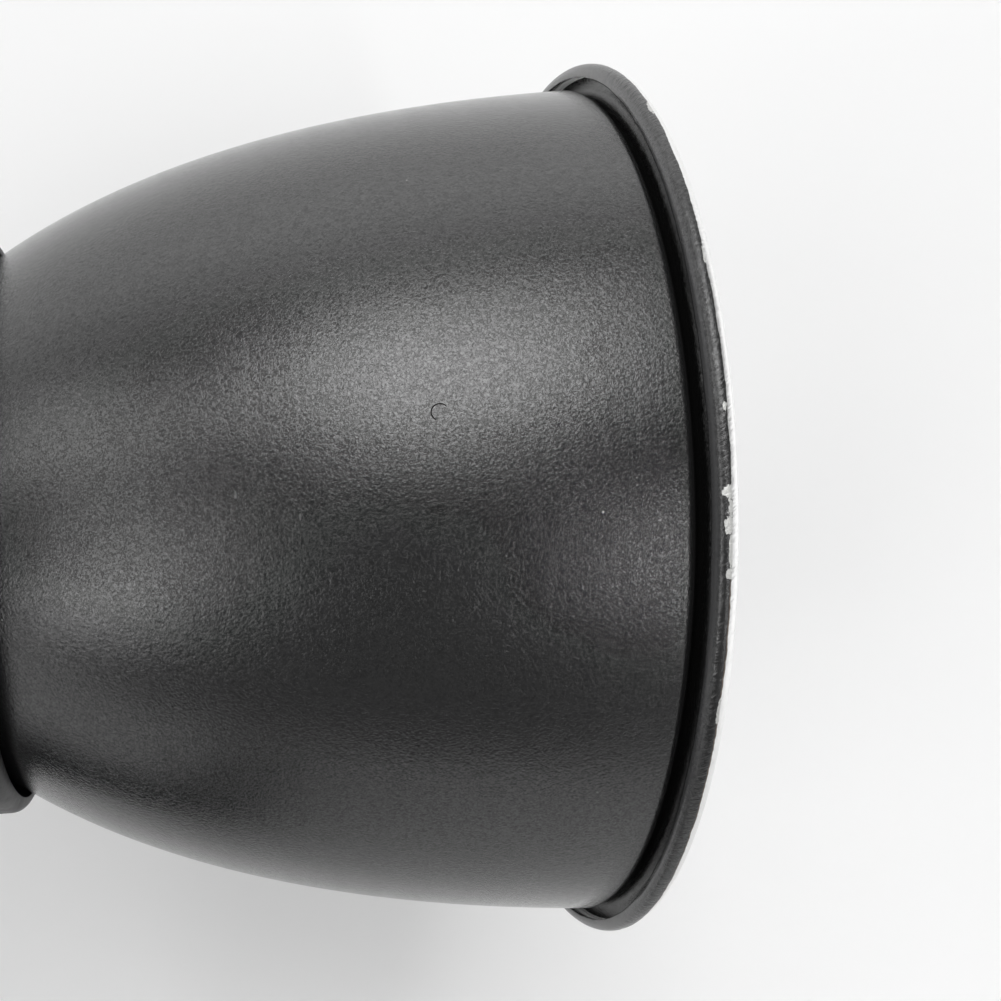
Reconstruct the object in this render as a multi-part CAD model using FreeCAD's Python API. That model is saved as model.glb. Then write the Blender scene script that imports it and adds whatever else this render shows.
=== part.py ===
import FreeCAD, Part
import math
import os
from FreeCAD import Vector

# Flash bulb gun: a spun bell reflector on a round lamp head, tilting on a battery handle,
# with a bar that carries the camera. Millimetres. +X is where the lamp points, +Z is up.
# The origin is on the camera screw, in the plane that the camera's base rests on.
# The handle stands at X = 0, HANDLE_Y to the side of the camera screw.

# ---- driving dimensions: reflector ----
RIM_R = 65.0                # outside of the rolled bead
SHEET = 0.9                 # spun aluminium
BEAD_R = 1.5                # outside radius of the roll
BEAD_WRAP = 190.0           # degrees the sheet is rolled round from the front face
LIP_STAND = 2.15            # bead above the widest radius of the bell's curve
BELL_LENGTH = 147.3         # half length of the superellipse that gives the bell's curve
BELL_CENTRE = 39.0          # its centre, ahead of the rim's front plane
BELL_POWER = 2.6
BELL_SPLIT = 60.0           # its two bands meet this far behind the rim's front plane
SHOULDER_X = 6.2            # where the bell turns in, behind the rim's front plane
SHOULDER_R = 2.0            # outside radius of that turn
SHOULDER_TURN = 60.0        # degrees
BELL_SAMPLES = 14           # points that the curve passes through, crowded towards the neck
BELL_CROWDING = 1.6
NECK_R = 13.0               # outside of the bell's neck
NECK_START_R = 15.0         # radius at which the curve runs out into the neck
NECK_LENGTH = 7.6
BAYONET_WALL = 1.2
BAYONET_EARS = 3
EAR_FIRST = 90.0            # degrees from +Y to the first ear, when locked
EAR_HEIGHT = 3.0
EAR_ANGLE = 34.0
EAR_PLAY = 5.0              # degrees by which the plate's notches are wider
EAR_LENGTH = 2.0
FLANGE_HEIGHT = 4.8         # collar of the bayonet ring in front of the mounting plate
FLANGE_LENGTH = 1.2
TWIST = 45.0                # degrees from locked to free

# ---- driving dimensions: lamp head ----
HANDLE_Y = 95.0
AXIS_HEIGHT = 186.0         # lamp axis above the camera's base
PIVOT_INSIDE_RIM = 5.0      # tilt axis above the level of the rim's lowest point
PLATE_AHEAD = 14.5          # front of the mounting plate ahead of the tilt axis
PLATE_T = 2.0
CUP_DEPTH = 26.85           # collar's lip ahead of the mounting plate
COLLAR_GAP = 1.35           # collar to bell at the lip
WALL = 2.1
LIP_ROUND = 1.9
LEDGE_WIDTH = 4.5
LEDGE_T = 2.5
SPLIT_BEHIND_PLATE = 2.6    # joint between the front cup and the rear cover
COVER_DEPTH = 26.0          # clear depth behind the mounting plate
COVER_WALL = 3.0
COVER_ROUND = 8.0
TRIM_WIDTH = 3.0
TRIM_STAND = 0.6
TRIM_EDGE = 0.4
SPIGOT_WALL = 2.0
SPIGOT_ROOT = 4.0           # root of the spigot behind the joint
SPIGOT_WEB = 3.0
BOSS_R = 3.0
BOSS_RISE = 5.0             # boss ahead of the ledge
BOSS_FROM_WALL = 3.6        # boss axis inside the cover's inner wall
SCREW_R = 1.25
SCREW_HEAD_R = 2.4
SCREW_HEAD_H = 1.6
SCREW_HEAD_SINK = 0.4       # heads below the cover's back
HEAD_SCREWS = 4
HEAD_SCREW_FIRST = 45.0     # degrees from +Y to the first
BLIND_END = 1.0             # left whole past the end of a screw's hole
DRIVER_SLOT = 0.8           # width and depth of every screwdriver slot
SEAT_DROP = 2.0             # flat seats inside the cover, below its inner wall

# ---- driving dimensions: bulb and socket ----
BULB_BASE_R = 7.6
BULB_BASE_LENGTH = 16.0
BULB_BASE_WALL = 0.5
BASE_END_T = 1.2
BASE_END_STEP = 0.4
SOLDER_R = 2.4
SOLDER_H = 1.5
BULB_R = 16.0
BULB_LENGTH = 51.0          # glass, ahead of the base
BULB_SHOULDER = 15.0        # length over which the glass widens
BULB_NECK_R = 7.0
BULB_FULLNESS = 0.4         # shoulder outside a straight taper, half way along
GLASS_WALL = 0.8
GLASS_SEAT = 1.0            # glass inside the base, and straight ahead of it
FOIL_ROUND = 3.0
FOIL_STEM_R = 2.2
PIN_R = 1.0
PIN_FROM_END = 6.0
PIN_REACH = 0.9
BASE_AHEAD = 13.6           # front of the bulb's base, ahead of the neck's rear end
SOCKET_WALL = 0.75
SOCKET_SLOT = 2.4
SOCKET_SHORT = 1.6          # socket's front behind the base's front
INSULATOR_R = 11.5
INSULATOR_FLANGE_R = 23.0
INSULATOR_FLANGE_T = 2.5
INSULATOR_NOSE = 2.0        # insulator ahead of its flange
INSULATOR_BASE_T = 2.5
POST_PCR = 20.2
POST_R = 1.9
POST_LENGTH = 5.5
POSTS = 3
POST_FIRST = 30.0           # degrees from +Y to the first
POST_SCREW_GRIP = 1.5
CONTACT_R = 3.2
CONTACT_T = 2.0
CONTACT_SPRING_LENGTH = 3.9
ROD_R = 2.0
ROD_TIP_R = 1.2
EJECT_TRAVEL = 5.0
EJECT_R = 7.0
EJECT_LEFT_PROUD = 4.0      # when pressed right in
EJECT_FLANGE = 1.6
EJECT_FLANGE_T = 1.4

# ---- driving dimensions: parts in and on the rear cover ----
BOARD_T = 1.6
BOARD_STANDOFF = 0.1
BOARD_HOLE_R = 10.0
CAPACITOR_R = 7.5
CAPACITOR_LENGTH = 28.0
CAPACITOR_Y = 27.0
CLIP_T = 0.7
CLIP_WIDTH = 8.0
RESISTOR_R = 1.7
RESISTOR_LENGTH = 9.0
RESISTOR_Y = -13.0
LEAD_R = 0.4
LEAD_LENGTH = 3.0
DIAL_PLATE_R = 27.0
DIAL_PLATE_T = 1.0
DIAL_R = 20.0
DIAL_T = 1.5
DIAL_NOTCHES = 36
DIAL_NOTCH_R = 0.9
HUB_R = 10.5
HUB_T = 1.2
HUB_SLEEVE_R = 8.6
BUTTON_R = 3.5
BUTTON_LEFT_PROUD = 1.5
BUTTON_FLANGE = 1.4
BUTTON_FLANGE_T = 1.2
BUTTON_TRAVEL = 2.0
BUTTON_AHEAD_OF_WALL = 13.5
LAMP_AHEAD_OF_WALL = 4.8
LAMP_R = 3.0
LAMP_PROUD = 2.4
LENS_ROUND = 1.6
LENS_WALL = 0.9
LENS_CROWN = 2.2
PAD_ROUND_R = 5.6           # raised round seats for the button and the lamp
PAD_ROUND_PROUD = 1.4
SWITCH_WIDTH = 10.0
SWITCH_DEPTH = 4.0
SWITCH_DROP = 8.5           # top of the switch block below the cover's inner wall
SWITCH_MARGIN = 0.5
SYNC_BORE_R = 1.6
SYNC_SLEEVE_R = 2.5
SYNC_DEPTH = 9.0
SYNC_FLOOR = 1.0
SYNC_AHEAD_OF_WALL = 11.5
SYNC_SPACING = 9.0
SYNC_BLOCK_WIDTH = 17.0
SYNC_BLOCK_HEIGHT = 9.0
SYNC_BLOCK_PROUD = 1.2
SLEEVE_PROUD = 0.3
WIRE_R = 0.6
WIRE_SPREAD = 6.0
WIRE_DROP = 15.0            # below the lamp axis

# ---- driving dimensions: tilt joint ----
PAD_WIDTH = 24.0
PAD_CORNER = 3.0
PAD_DROP = 2.0              # flat under the cover, below its round wall
TONGUE_SCREW_X = 3.6        # screws inside the pad's ends
TONGUE_SCREW_Y = 3.4        # and its sides
TONGUE_SCREW_GRIP = 3.8
TONGUE_PLATE_T = 3.0
TONGUE_T = 9.0
TONGUE_R = 8.0
WASHER_T = 0.5
WASHER_INSET = 0.5
EAR_T = 6.0
BOLT_R = 3.0
BOLT_HEAD_R = 5.5
BOLT_HEAD_H = 3.0
KNOB_R = 10.0
KNOB_H = 10.0
KNOB_FLUTES = 24
KNOB_FLUTE_R = 0.9
KNOB_SKIRT = 2.0
BOLT_SHORT = 1.0            # bolt's end inside the knob's face
YOKE_BASE_T = 6.0
YOKE_BASE_DROP = 12.0       # top of the yoke's base below the tilt axis
YOKE_PLUG = 14.0
YOKE_ROOT = 1.5             # ears inside the base

# ---- driving dimensions: handle ----
TUBE_WALL = 1.8
TUBE_PAST_CLAMP = 5.0       # least length of tube below the clamp
CELL_CLEARANCE = 0.6        # radial, cells in the tube
GRIP_WALL = 3.2
GRIP_BOTTOM_GAP = 15.0      # tube left bare between the clamp and the grip
GRIP_TOP_GAP = 14.0         # tube left bare between the grip and the yoke
GRIP_GROOVES = 15
GRIP_GROOVE_R = 1.3
GRIP_GROOVE_OUT = 0.5       # groove centres outside the sleeve's surface
RING_HEIGHT = 2.4
RING_PROUD = 0.3
CELL_R = 13.1
CELL_LENGTH = 48.5
CELL_TIP_R = 3.2
CELL_TIP_H = 1.5
BATTERY_SPRING_LENGTH = 10.0
TOP_CONTACT_R = 5.2
TOP_CONTACT_H = 2.0
TOP_CONTACT_PIN = 2.5
TOP_CONTACT_PIN_R = 1.5
INSULATOR_T = 4.0
RELEASE_R = 3.5
RELEASE_LEFT_PROUD = 1.5
RELEASE_TRAVEL = 2.0
RELEASE_DROP = 7.0          # button's axis below the yoke's base
RELEASE_REACH = 4.0         # button's inner end, inside the tube's surface
RELEASE_BORE = 12.0         # floor of its bore, inside the tube's surface
CAP_R = 17.5
CAP_H = 13.0
CAP_SPIGOT = 8.0
CAP_ROUND = 2.0
CAP_FLUTES = 30
CAP_FLUTE_R = 1.1
CAP_BAND = 2.0              # plain band above the flutes
CAP_SLOT_LENGTH = 16.0
CAP_SLOT_WIDTH = 2.4
CAP_SLOT_DEPTH = 1.6
SEAL_T = 1.2

# ---- driving dimensions: camera bar ----
PAD_T = 2.0
PAD_INSET = 1.0             # pad inside the bar's edges, and outside its slot by half of this
PAD_MARGIN = 4.0            # pad's end before the clamp's tab
BAR_T = 5.0
BAR_WIDTH = 26.0
SLOT_WIDTH = 8.0
SLOT_FRONT = 16.0           # slot's centre line past the screw, away from the handle
SLOT_BACK = 24.0            # and towards the handle
BAR_END_WALL = 6.0
BAR_END_GAP = 0.5
BAR_SCREW_R = 2.0
BAR_SCREW_HEAD_R = 4.0
BAR_SCREW_HEAD_H = 2.0
BAR_SCREW_INSET = 5.5
CLAMP_WALL = 5.0
CLAMP_HEIGHT = 20.0
CLAMP_TAB = 22.0
CLAMP_TAB_T = 5.5
CLAMP_TAB_INSET = 1.0
CLAMP_LUG = 10.0
CLAMP_LUG_T = 5.0
CLAMP_LUG_INSET = 2.0
CLAMP_LUG_CORNER = 3.0
CLAMP_SLIT = 2.0
CLAMP_SCREW_R = 2.0
CLAMP_HEAD_R = 3.6
CLAMP_HEAD_H = 3.5
CLAMP_NUT_R = 3.4
CLAMP_NUT_H = 3.0
CAMERA_THREAD_R = 3.175     # 1/4 in thread of the camera screw
CAMERA_THREAD_LENGTH = 5.5
CAMERA_SHANK_R = 2.4
BUSH_FLANGE_R = 7.0
BUSH_FLANGE_T = 1.4
THUMB_R = 11.0
THUMB_H = 9.0
THUMB_FLUTES = 20
THUMB_FLUTE_R = 1.2

# ---- springs: mean radius, wire's radius, turns ----
EJECT_COIL = (5.0, 0.4, 4.5)
CONTACT_COIL = (2.7, 0.25, 3.0)
TEST_COIL = (2.5, 0.25, 4.0)
RELEASE_COIL = (2.6, 0.3, 4.5)
BATTERY_COIL = (7.0, 0.6, 3.5)
COIL_POINTS = 24            # points per turn of a spring's centre line

# ---- edges ----
EDGE_FINE = 0.5
EDGE_SOFT = 0.8
EDGE_ROUND = 1.5
FLUTE_OUT = 0.4             # flute centres outside the rim, as a share of their radius

# ---- clearances ----
RUN = 0.05                  # radial, shafts and sliding pins
FACE = 0.1                  # between flat faces that move past each other
LOOSE = 0.35                # between other neighbours on different bodies
GLUE = 0.08                 # between curved faces fixed to each other
CUT = 1.0                   # how far a cutting tool runs past the solid
MERGE = 0.5                 # how far one feature runs into the one that carries it
TOUCH = 1e-3                # two coordinates this close are the same

X_DIR = Vector(1, 0, 0)
Y_DIR = Vector(0, 1, 0)
Z_DIR = Vector(0, 0, 1)

os.makedirs("parts", exist_ok=True)


def save(name, shape):
    """Write one sub-part to its own STEP file."""
    shape.exportStep("parts/" + name + ".step")


# ---- plain shapes about the lamp axis, about other lines, and boxes ----
def rod_x(start, end, radius, y=HANDLE_Y, z=AXIS_HEIGHT):
    return Part.makeCylinder(radius, end - start, Vector(start, y, z), X_DIR)


def tube_x(start, end, outer, inner, y=HANDLE_Y, z=AXIS_HEIGHT):
    return rod_x(start, end, outer, y, z).cut(rod_x(start - CUT, end + CUT, inner, y, z))


def rod_y(start, end, radius, x=0.0, z=0.0):
    return Part.makeCylinder(radius, end - start, Vector(x, start, z), Y_DIR)


def tube_y(start, end, outer, inner, x=0.0, z=0.0):
    return rod_y(start, end, outer, x, z).cut(rod_y(start - CUT, end + CUT, inner, x, z))


def rod_z(start, end, radius, x=0.0, y=HANDLE_Y):
    return Part.makeCylinder(radius, end - start, Vector(x, y, start), Z_DIR)


def tube_z(start, end, outer, inner, x=0.0, y=HANDLE_Y):
    return rod_z(start, end, outer, x, y).cut(rod_z(start - CUT, end + CUT, inner, x, y))


def block(x_span, y_span, z_span):
    size = [span[1] - span[0] for span in (x_span, y_span, z_span)]
    return Part.makeBox(size[0], size[1], size[2], Vector(x_span[0], y_span[0], z_span[0]))


def about_lamp_axis(shape, degrees):
    turned = shape.copy()
    turned.rotate(Vector(0, HANDLE_Y, AXIS_HEIGHT), X_DIR, degrees)
    return turned


def round_edges(shape, radius, chosen):
    """Fillet the edges for which chosen(edge) is true."""
    edges = [edge for edge in shape.Edges if chosen(edge)]
    return shape.makeFillet(radius, edges)


def edge_at_x(x):
    return lambda edge: abs(edge.BoundBox.XMin - x) < TOUCH and abs(edge.BoundBox.XMax - x) < TOUCH


def edge_at_y(y):
    return lambda edge: abs(edge.BoundBox.YMin - y) < TOUCH and abs(edge.BoundBox.YMax - y) < TOUCH


def edge_at_z(z):
    return lambda edge: abs(edge.BoundBox.ZMin - z) < TOUCH and abs(edge.BoundBox.ZMax - z) < TOUCH


def outer_edge(x, radius):
    """The circle of this radius about the lamp axis, in the plane at x."""
    in_plane = edge_at_x(x)
    return lambda edge: in_plane(edge) and abs(edge.BoundBox.YLength - 2 * radius) < TOUCH


def upright(edge):
    return edge.BoundBox.ZLength > edge.BoundBox.DiagonalLength - TOUCH


def level(edge):
    return edge.BoundBox.ZLength < TOUCH


def fluted(shape, count, cutter_at):
    """Cut equal flutes round a knob; cutter_at(angle) gives each cutting cylinder."""
    for index in range(count):
        shape = shape.cut(cutter_at(2 * math.pi * index / count))
    return shape


def coil(start, direction, length, mean_r, wire_r, turns):
    """A round-wire compression spring, between two flat planes a wire's radius past its ends."""
    rise = length - 2 * wire_r
    count = int(turns * COIL_POINTS)
    points = []
    for index in range(count + 1):
        angle = 2 * math.pi * turns * index / count
        points.append(Vector(mean_r * math.cos(angle), mean_r * math.sin(angle), rise * index / count))
    line = Part.BSplineCurve()
    line.interpolate(points)
    heading = line.tangent(line.FirstParameter)[0]
    section = Part.Wire([Part.makeCircle(wire_r, points[0], heading)])
    spring = Part.Wire([line.toShape()]).makePipeShell([section], True, True)
    spring.translate(Vector(0, 0, wire_r))
    turn = FreeCAD.Rotation(Z_DIR, direction)
    spring.Placement = FreeCAD.Placement(start, turn).multiply(spring.Placement)
    return spring


# ---- the bell's curve, as radius against distance u from the rim's front plane ----
BELL_R = RIM_R - LIP_STAND


def bell_radius(u):
    """Outside radius of the bell; u is negative behind the rim's front plane."""
    share = (BELL_CENTRE - u) / BELL_LENGTH
    return BELL_R * math.sqrt(1.0 - share ** BELL_POWER)


def bell_u(radius):
    """Where the bell's outside has this radius."""
    share = (1.0 - (radius / BELL_R) ** 2) ** (1.0 / BELL_POWER)
    return BELL_CENTRE - share * BELL_LENGTH


def bell_slope(u):
    """Angle in radians between the bell's outside and the lamp axis."""
    share = (BELL_CENTRE - u) / BELL_LENGTH
    rise = BELL_R * 0.5 * BELL_POWER * share ** (BELL_POWER - 1.0)
    return math.atan2(rise, BELL_LENGTH * math.sqrt(1.0 - share ** BELL_POWER))


def along(point, angle, distance):
    """The point at a distance from a point (u, r), at an angle from straight out."""
    return (point[0] + distance * math.sin(angle), point[1] + distance * math.cos(angle))


NECK_TANGENT_U = bell_u(NECK_START_R)
NECK_SLOPE = bell_slope(NECK_TANGENT_U)
NECK_ROUND = (NECK_START_R - NECK_R) / (1.0 - math.cos(NECK_SLOPE))
NECK_CENTRE = along((NECK_TANGENT_U, NECK_START_R), -NECK_SLOPE, NECK_ROUND)
NECK_FRONT_U = NECK_CENTRE[0]
NECK_END_U = NECK_FRONT_U - NECK_LENGTH

# ---- stations along the lamp axis ----
PLATE_FRONT = PLATE_AHEAD
PLATE_BACK = PLATE_FRONT - PLATE_T
EARS_FRONT = PLATE_BACK - LOOSE
EARS_BACK = EARS_FRONT - EAR_LENGTH
NECK_END = EARS_BACK - FACE
RIM_X = NECK_END - NECK_END_U
BELL_SPLIT_X = RIM_X - BELL_SPLIT
COLLAR_LIP = PLATE_FRONT + CUP_DEPTH
SPLIT = PLATE_BACK - SPLIT_BEHIND_PLATE
PAD_LENGTH = 2 * (SPLIT - TRIM_WIDTH / 2 - LOOSE)
COVER_INSIDE = PLATE_BACK - COVER_DEPTH
COVER_BACK = COVER_INSIDE - COVER_WALL
FLANGE_FRONT = PLATE_BACK - POST_LENGTH
FLANGE_BACK = FLANGE_FRONT - INSULATOR_FLANGE_T
BASE_FRONT = NECK_END + BASE_AHEAD
BASE_BACK = BASE_FRONT - BULB_BASE_LENGTH
PIN_X = BASE_BACK + PIN_FROM_END
CONTACT_FRONT = BASE_BACK - SOLDER_H - FACE
CONTACT_BACK = CONTACT_FRONT - CONTACT_T
INSULATOR_FLOOR = CONTACT_BACK - CONTACT_SPRING_LENGTH
INSULATOR_BACK = INSULATOR_FLOOR - INSULATOR_BASE_T
BOSS_END = PLATE_FRONT + LEDGE_T + BOSS_RISE
BOSS_HOLE_END = BOSS_END - BLIND_END
SCREW_SEAT = COVER_BACK + SCREW_HEAD_SINK + SCREW_HEAD_H
EJECT_BACK = COVER_BACK - EJECT_LEFT_PROUD - EJECT_TRAVEL
EJECT_SEAT = COVER_INSIDE + FACE
EJECT_FLANGE_FRONT = EJECT_SEAT + EJECT_FLANGE_T
BUTTON_X = COVER_INSIDE + BUTTON_AHEAD_OF_WALL
LAMP_X = COVER_INSIDE + LAMP_AHEAD_OF_WALL
SYNC_X = COVER_INSIDE + SYNC_AHEAD_OF_WALL
BOARD_BACK = COVER_INSIDE + BOARD_STANDOFF
BOARD_FRONT = BOARD_BACK + BOARD_T
CAPACITOR_X = BOARD_FRONT + FACE + CLIP_T + CAPACITOR_R

# ---- radii of the head and the handle ----
CUP_INNER_R = bell_radius(COLLAR_LIP - RIM_X) + COLLAR_GAP
CUP_R = CUP_INNER_R + WALL
BOSS_PCR = CUP_INNER_R - BOSS_FROM_WALL
PLATE_R = CUP_INNER_R - GLUE
BAYONET_R = NECK_R + BAYONET_WALL
PLATE_BORE_R = BAYONET_R + RUN
EAR_R = BAYONET_R + EAR_HEIGHT
SOCKET_BORE_R = BULB_BASE_R + FACE
SOCKET_R = SOCKET_BORE_R + SOCKET_WALL
BOARD_R = CUP_INNER_R - COVER_ROUND + COVER_WALL
TUBE_BORE_R = CELL_R + CELL_CLEARANCE
TUBE_R = TUBE_BORE_R + TUBE_WALL
GRIP_R = TUBE_R + GRIP_WALL
CLAMP_R = TUBE_R + CLAMP_WALL

# ---- stations of the handle's button ----
RELEASE_INNER = RELEASE_REACH - TUBE_R
RELEASE_FLOOR = RELEASE_BORE - TUBE_R

# ---- stations across, from the camera screw to the handle ----
COVER_SIDE_Y = HANDLE_Y - CUP_R
BAR_END = HANDLE_Y - CLAMP_R - BAR_END_GAP
PAD_END = BAR_END - CLAMP_TAB - PAD_MARGIN
WASHER_IN = TONGUE_T / 2 + FACE
EAR_IN = WASHER_IN + WASHER_T
EAR_OUT = EAR_IN + EAR_T

# ---- heights ----
PIVOT_Z = AXIS_HEIGHT - RIM_R + PIVOT_INSIDE_RIM
YOKE_TOP = PIVOT_Z - YOKE_BASE_DROP
TUBE_TOP = YOKE_TOP - YOKE_BASE_T
GRIP_TOP = TUBE_TOP - GRIP_TOP_GAP
PLUG_BOTTOM = TUBE_TOP - YOKE_PLUG
STACK_LENGTH = BATTERY_SPRING_LENGTH + 2 * (CELL_LENGTH + CELL_TIP_H) + TOP_CONTACT_H + INSULATOR_T
PAD_TOP_Z = AXIS_HEIGHT - CUP_R - PAD_DROP
BAR_TOP = -PAD_T
BAR_BOTTOM = BAR_TOP - BAR_T
SEAT_Z = AXIS_HEIGHT + CUP_INNER_R - SEAT_DROP
ROUND_PAD_TOP = AXIS_HEIGHT + CUP_R + PAD_ROUND_PROUD
FLANGE_TOP_Z = SEAT_Z - FACE
FLANGE_BOTTOM_Z = FLANGE_TOP_Z - BUTTON_FLANGE_T
SWITCH_TOP = AXIS_HEIGHT + CUP_INNER_R - SWITCH_DROP
RELEASE_Z = TUBE_TOP - RELEASE_DROP
CLAMP_TOP = BAR_BOTTOM + CLAMP_HEIGHT / 2
CLAMP_BOTTOM = CLAMP_TOP - CLAMP_HEIGHT
TUBE_BOTTOM = min(PLUG_BOTTOM - STACK_LENGTH - CAP_SPIGOT, CLAMP_BOTTOM - TUBE_PAST_CLAMP)
SPRING_BOTTOM = TUBE_BOTTOM + CAP_SPIGOT
LOWER_CELL_Z = SPRING_BOTTOM + BATTERY_SPRING_LENGTH
UPPER_CELL_Z = LOWER_CELL_Z + CELL_LENGTH + CELL_TIP_H
TOP_CONTACT_Z = UPPER_CELL_Z + CELL_LENGTH + CELL_TIP_H
CUP_Z = TOP_CONTACT_Z + TOP_CONTACT_H
GRIP_BOTTOM = CLAMP_TOP + GRIP_BOTTOM_GAP
TAB_TOP = BAR_BOTTOM
TAB_BOTTOM = TAB_TOP - CLAMP_TAB_T
BUSH_FLANGE_TOP = BAR_BOTTOM - FACE
BUSH_FLANGE_BOTTOM = BUSH_FLANGE_TOP - BUSH_FLANGE_T


def head_angles(count, first):
    return [first + 360.0 * index / count for index in range(count)]


def on_circle(radius, angle):
    """(y, z) at an angle from +Y about the lamp axis."""
    turn = math.radians(angle)
    return HANDLE_Y + radius * math.cos(turn), AXIS_HEIGHT + radius * math.sin(turn)


def screw_places():
    return [on_circle(BOSS_PCR, angle) for angle in head_angles(HEAD_SCREWS, HEAD_SCREW_FIRST)]


def post_places():
    return [on_circle(POST_PCR, angle) for angle in head_angles(POSTS, POST_FIRST)]


def revolve_outline(edges):
    """Turn a closed outline, drawn as (u, r) edges, about the lamp axis."""
    face = Part.Face(Part.Wire(Part.__sortEdges__(edges)))
    solid = face.revolve(Vector(0, HANDLE_Y, AXIS_HEIGHT), X_DIR, 360)
    return solid if solid.Volume > 0 else solid.reversed()


def at(u, r, front=RIM_X):
    """Model point of an outline's (u, r)."""
    return Vector(front + u, HANDLE_Y, AXIS_HEIGHT + r)


def line(a, b, front=RIM_X):
    return Part.LineSegment(at(a[0], a[1], front), at(b[0], b[1], front)).toShape()


def arc(centre, radius, first, last, front=RIM_X):
    """An arc between two angles from straight out, towards the front."""
    points = [along(centre, angle, radius) for angle in (first, (first + last) / 2, last)]
    return Part.Arc(*[at(u, r, front) for u, r in points]).toShape()


# ---- reflector ----
def bell_side(inset):
    """The edges of one side of the sheet, from the neck's rear end to the front plane."""
    first, last = NECK_TANGENT_U, -SHOULDER_X
    points = []
    for index in range(BELL_SAMPLES + 1):
        u = first + (last - first) * (index / BELL_SAMPLES) ** BELL_CROWDING
        points.append(along((u, bell_radius(u)), -bell_slope(u), -inset))
    curve = Part.BSplineCurve()
    start_slope = bell_slope(first)
    end_slope = bell_slope(last)
    curve.interpolate(
        Points=[at(u, r) for u, r in points],
        InitialTangent=Vector(math.cos(start_slope), 0, math.sin(start_slope)),
        FinalTangent=Vector(math.cos(end_slope), 0, math.sin(end_slope)),
    )
    shoulder = along((last, bell_radius(last)), -end_slope, -SHOULDER_R)
    turn = math.radians(SHOULDER_TURN)
    groove_r = groove_radius(shoulder, turn)
    groove = along(shoulder, turn, SHOULDER_R + groove_r)
    neck_r = NECK_R - inset
    rim_u = groove[0] + groove_r + inset
    return [
        line((NECK_END_U, neck_r), (NECK_FRONT_U, neck_r)),
        arc(NECK_CENTRE, NECK_ROUND + inset, math.pi, math.pi - NECK_SLOPE),
        curve.toShape(),
        arc(shoulder, SHOULDER_R - inset, -end_slope, turn),
        arc(groove, groove_r + inset, turn + math.pi, 0.5 * math.pi),
        line((rim_u, groove[1]), (rim_u, RIM_R - BEAD_R)),
    ]


def groove_radius(shoulder, turn):
    """Outside radius of the turn at the groove's floor, so that the sheet ends at the front plane."""
    room = -SHEET - shoulder[0] - SHOULDER_R * math.sin(turn)
    return room / (1.0 + math.sin(turn))


def whole_bell():
    centre = (-BEAD_R, RIM_R - BEAD_R)
    first, last = 0.5 * math.pi, 0.5 * math.pi - math.radians(BEAD_WRAP)
    inner_r = BEAD_R - SHEET
    edges = bell_side(0.0) + bell_side(SHEET)
    edges.append(arc(centre, BEAD_R, first, last))
    edges.append(arc(centre, inner_r, first, last))
    edges.append(line(along(centre, last, BEAD_R), along(centre, last, inner_r)))
    edges.append(line((NECK_END_U, NECK_R), (NECK_END_U, NECK_R - SHEET)))
    return revolve_outline(edges)


def bell_front():
    """The spun bell ahead of BELL_SPLIT; it runs on without a break into the band behind."""
    return whole_bell().common(rod_x(BELL_SPLIT_X, RIM_X + CUT, RIM_R + CUT))


def bell_rear():
    return whole_bell().cut(rod_x(BELL_SPLIT_X, RIM_X + CUT, RIM_R + CUT))


def sector(start, end, outer, inner, centre_angle, width_angle):
    """Part of a ring about the lamp axis, centred on an angle from +Y."""
    ring = Part.makeCylinder(
        outer, end - start, Vector(start, HANDLE_Y, AXIS_HEIGHT), X_DIR, width_angle
    ).cut(rod_x(start - CUT, end + CUT, inner))
    box = ring.BoundBox.Center
    now = math.degrees(math.atan2(box.z - AXIS_HEIGHT, box.y - HANDLE_Y))
    return about_lamp_axis(ring, centre_angle - now)


def bayonet_ring():
    flange_back = PLATE_FRONT + FACE
    flange_front = flange_back + FLANGE_LENGTH
    inner = NECK_R + GLUE
    ring = tube_x(NECK_END, flange_front, BAYONET_R, inner)
    ring = ring.fuse(tube_x(flange_back, flange_front, BAYONET_R + FLANGE_HEIGHT, inner))
    for angle in head_angles(BAYONET_EARS, EAR_FIRST):
        ring = ring.fuse(sector(EARS_BACK, EARS_FRONT, EAR_R, BAYONET_R - MERGE, angle, EAR_ANGLE))
    return ring.removeSplitter()


# ---- bulb ----
def bulb_outline(inset):
    """One side of the glass, from its seat in the base to the tip."""
    seat = BASE_FRONT - GLASS_SEAT
    straight = BASE_FRONT + GLASS_SEAT
    wide = BASE_FRONT + BULB_SHOULDER
    tip = BASE_FRONT + BULB_LENGTH
    dome = tip - BULB_R
    neck_r = BULB_NECK_R - inset
    wide_r = BULB_R - inset
    curve = Part.BSplineCurve()
    curve.interpolate(
        Points=[
            at(straight, neck_r, 0),
            at((straight + wide) / 2, (neck_r + wide_r) / 2 + BULB_FULLNESS, 0),
            at(wide, wide_r, 0),
        ],
        InitialTangent=X_DIR,
        FinalTangent=X_DIR,
    )
    edges = [
        line((seat, neck_r), (straight, neck_r), 0),
        curve.toShape(),
        line((wide, wide_r), (dome, wide_r), 0),
        arc((dome, 0.0), wide_r, 0.0, 0.5 * math.pi, 0),
    ]
    return edges, tip - inset, seat


def bulb_glass():
    outer, outer_tip, seat = bulb_outline(0.0)
    inner, inner_tip, _ = bulb_outline(GLASS_WALL)
    edges = outer + inner
    edges.append(line((outer_tip, 0.0), (inner_tip, 0.0), 0))
    edges.append(line((seat, BULB_NECK_R), (seat, BULB_NECK_R - GLASS_WALL), 0))
    return revolve_outline(edges)


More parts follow.
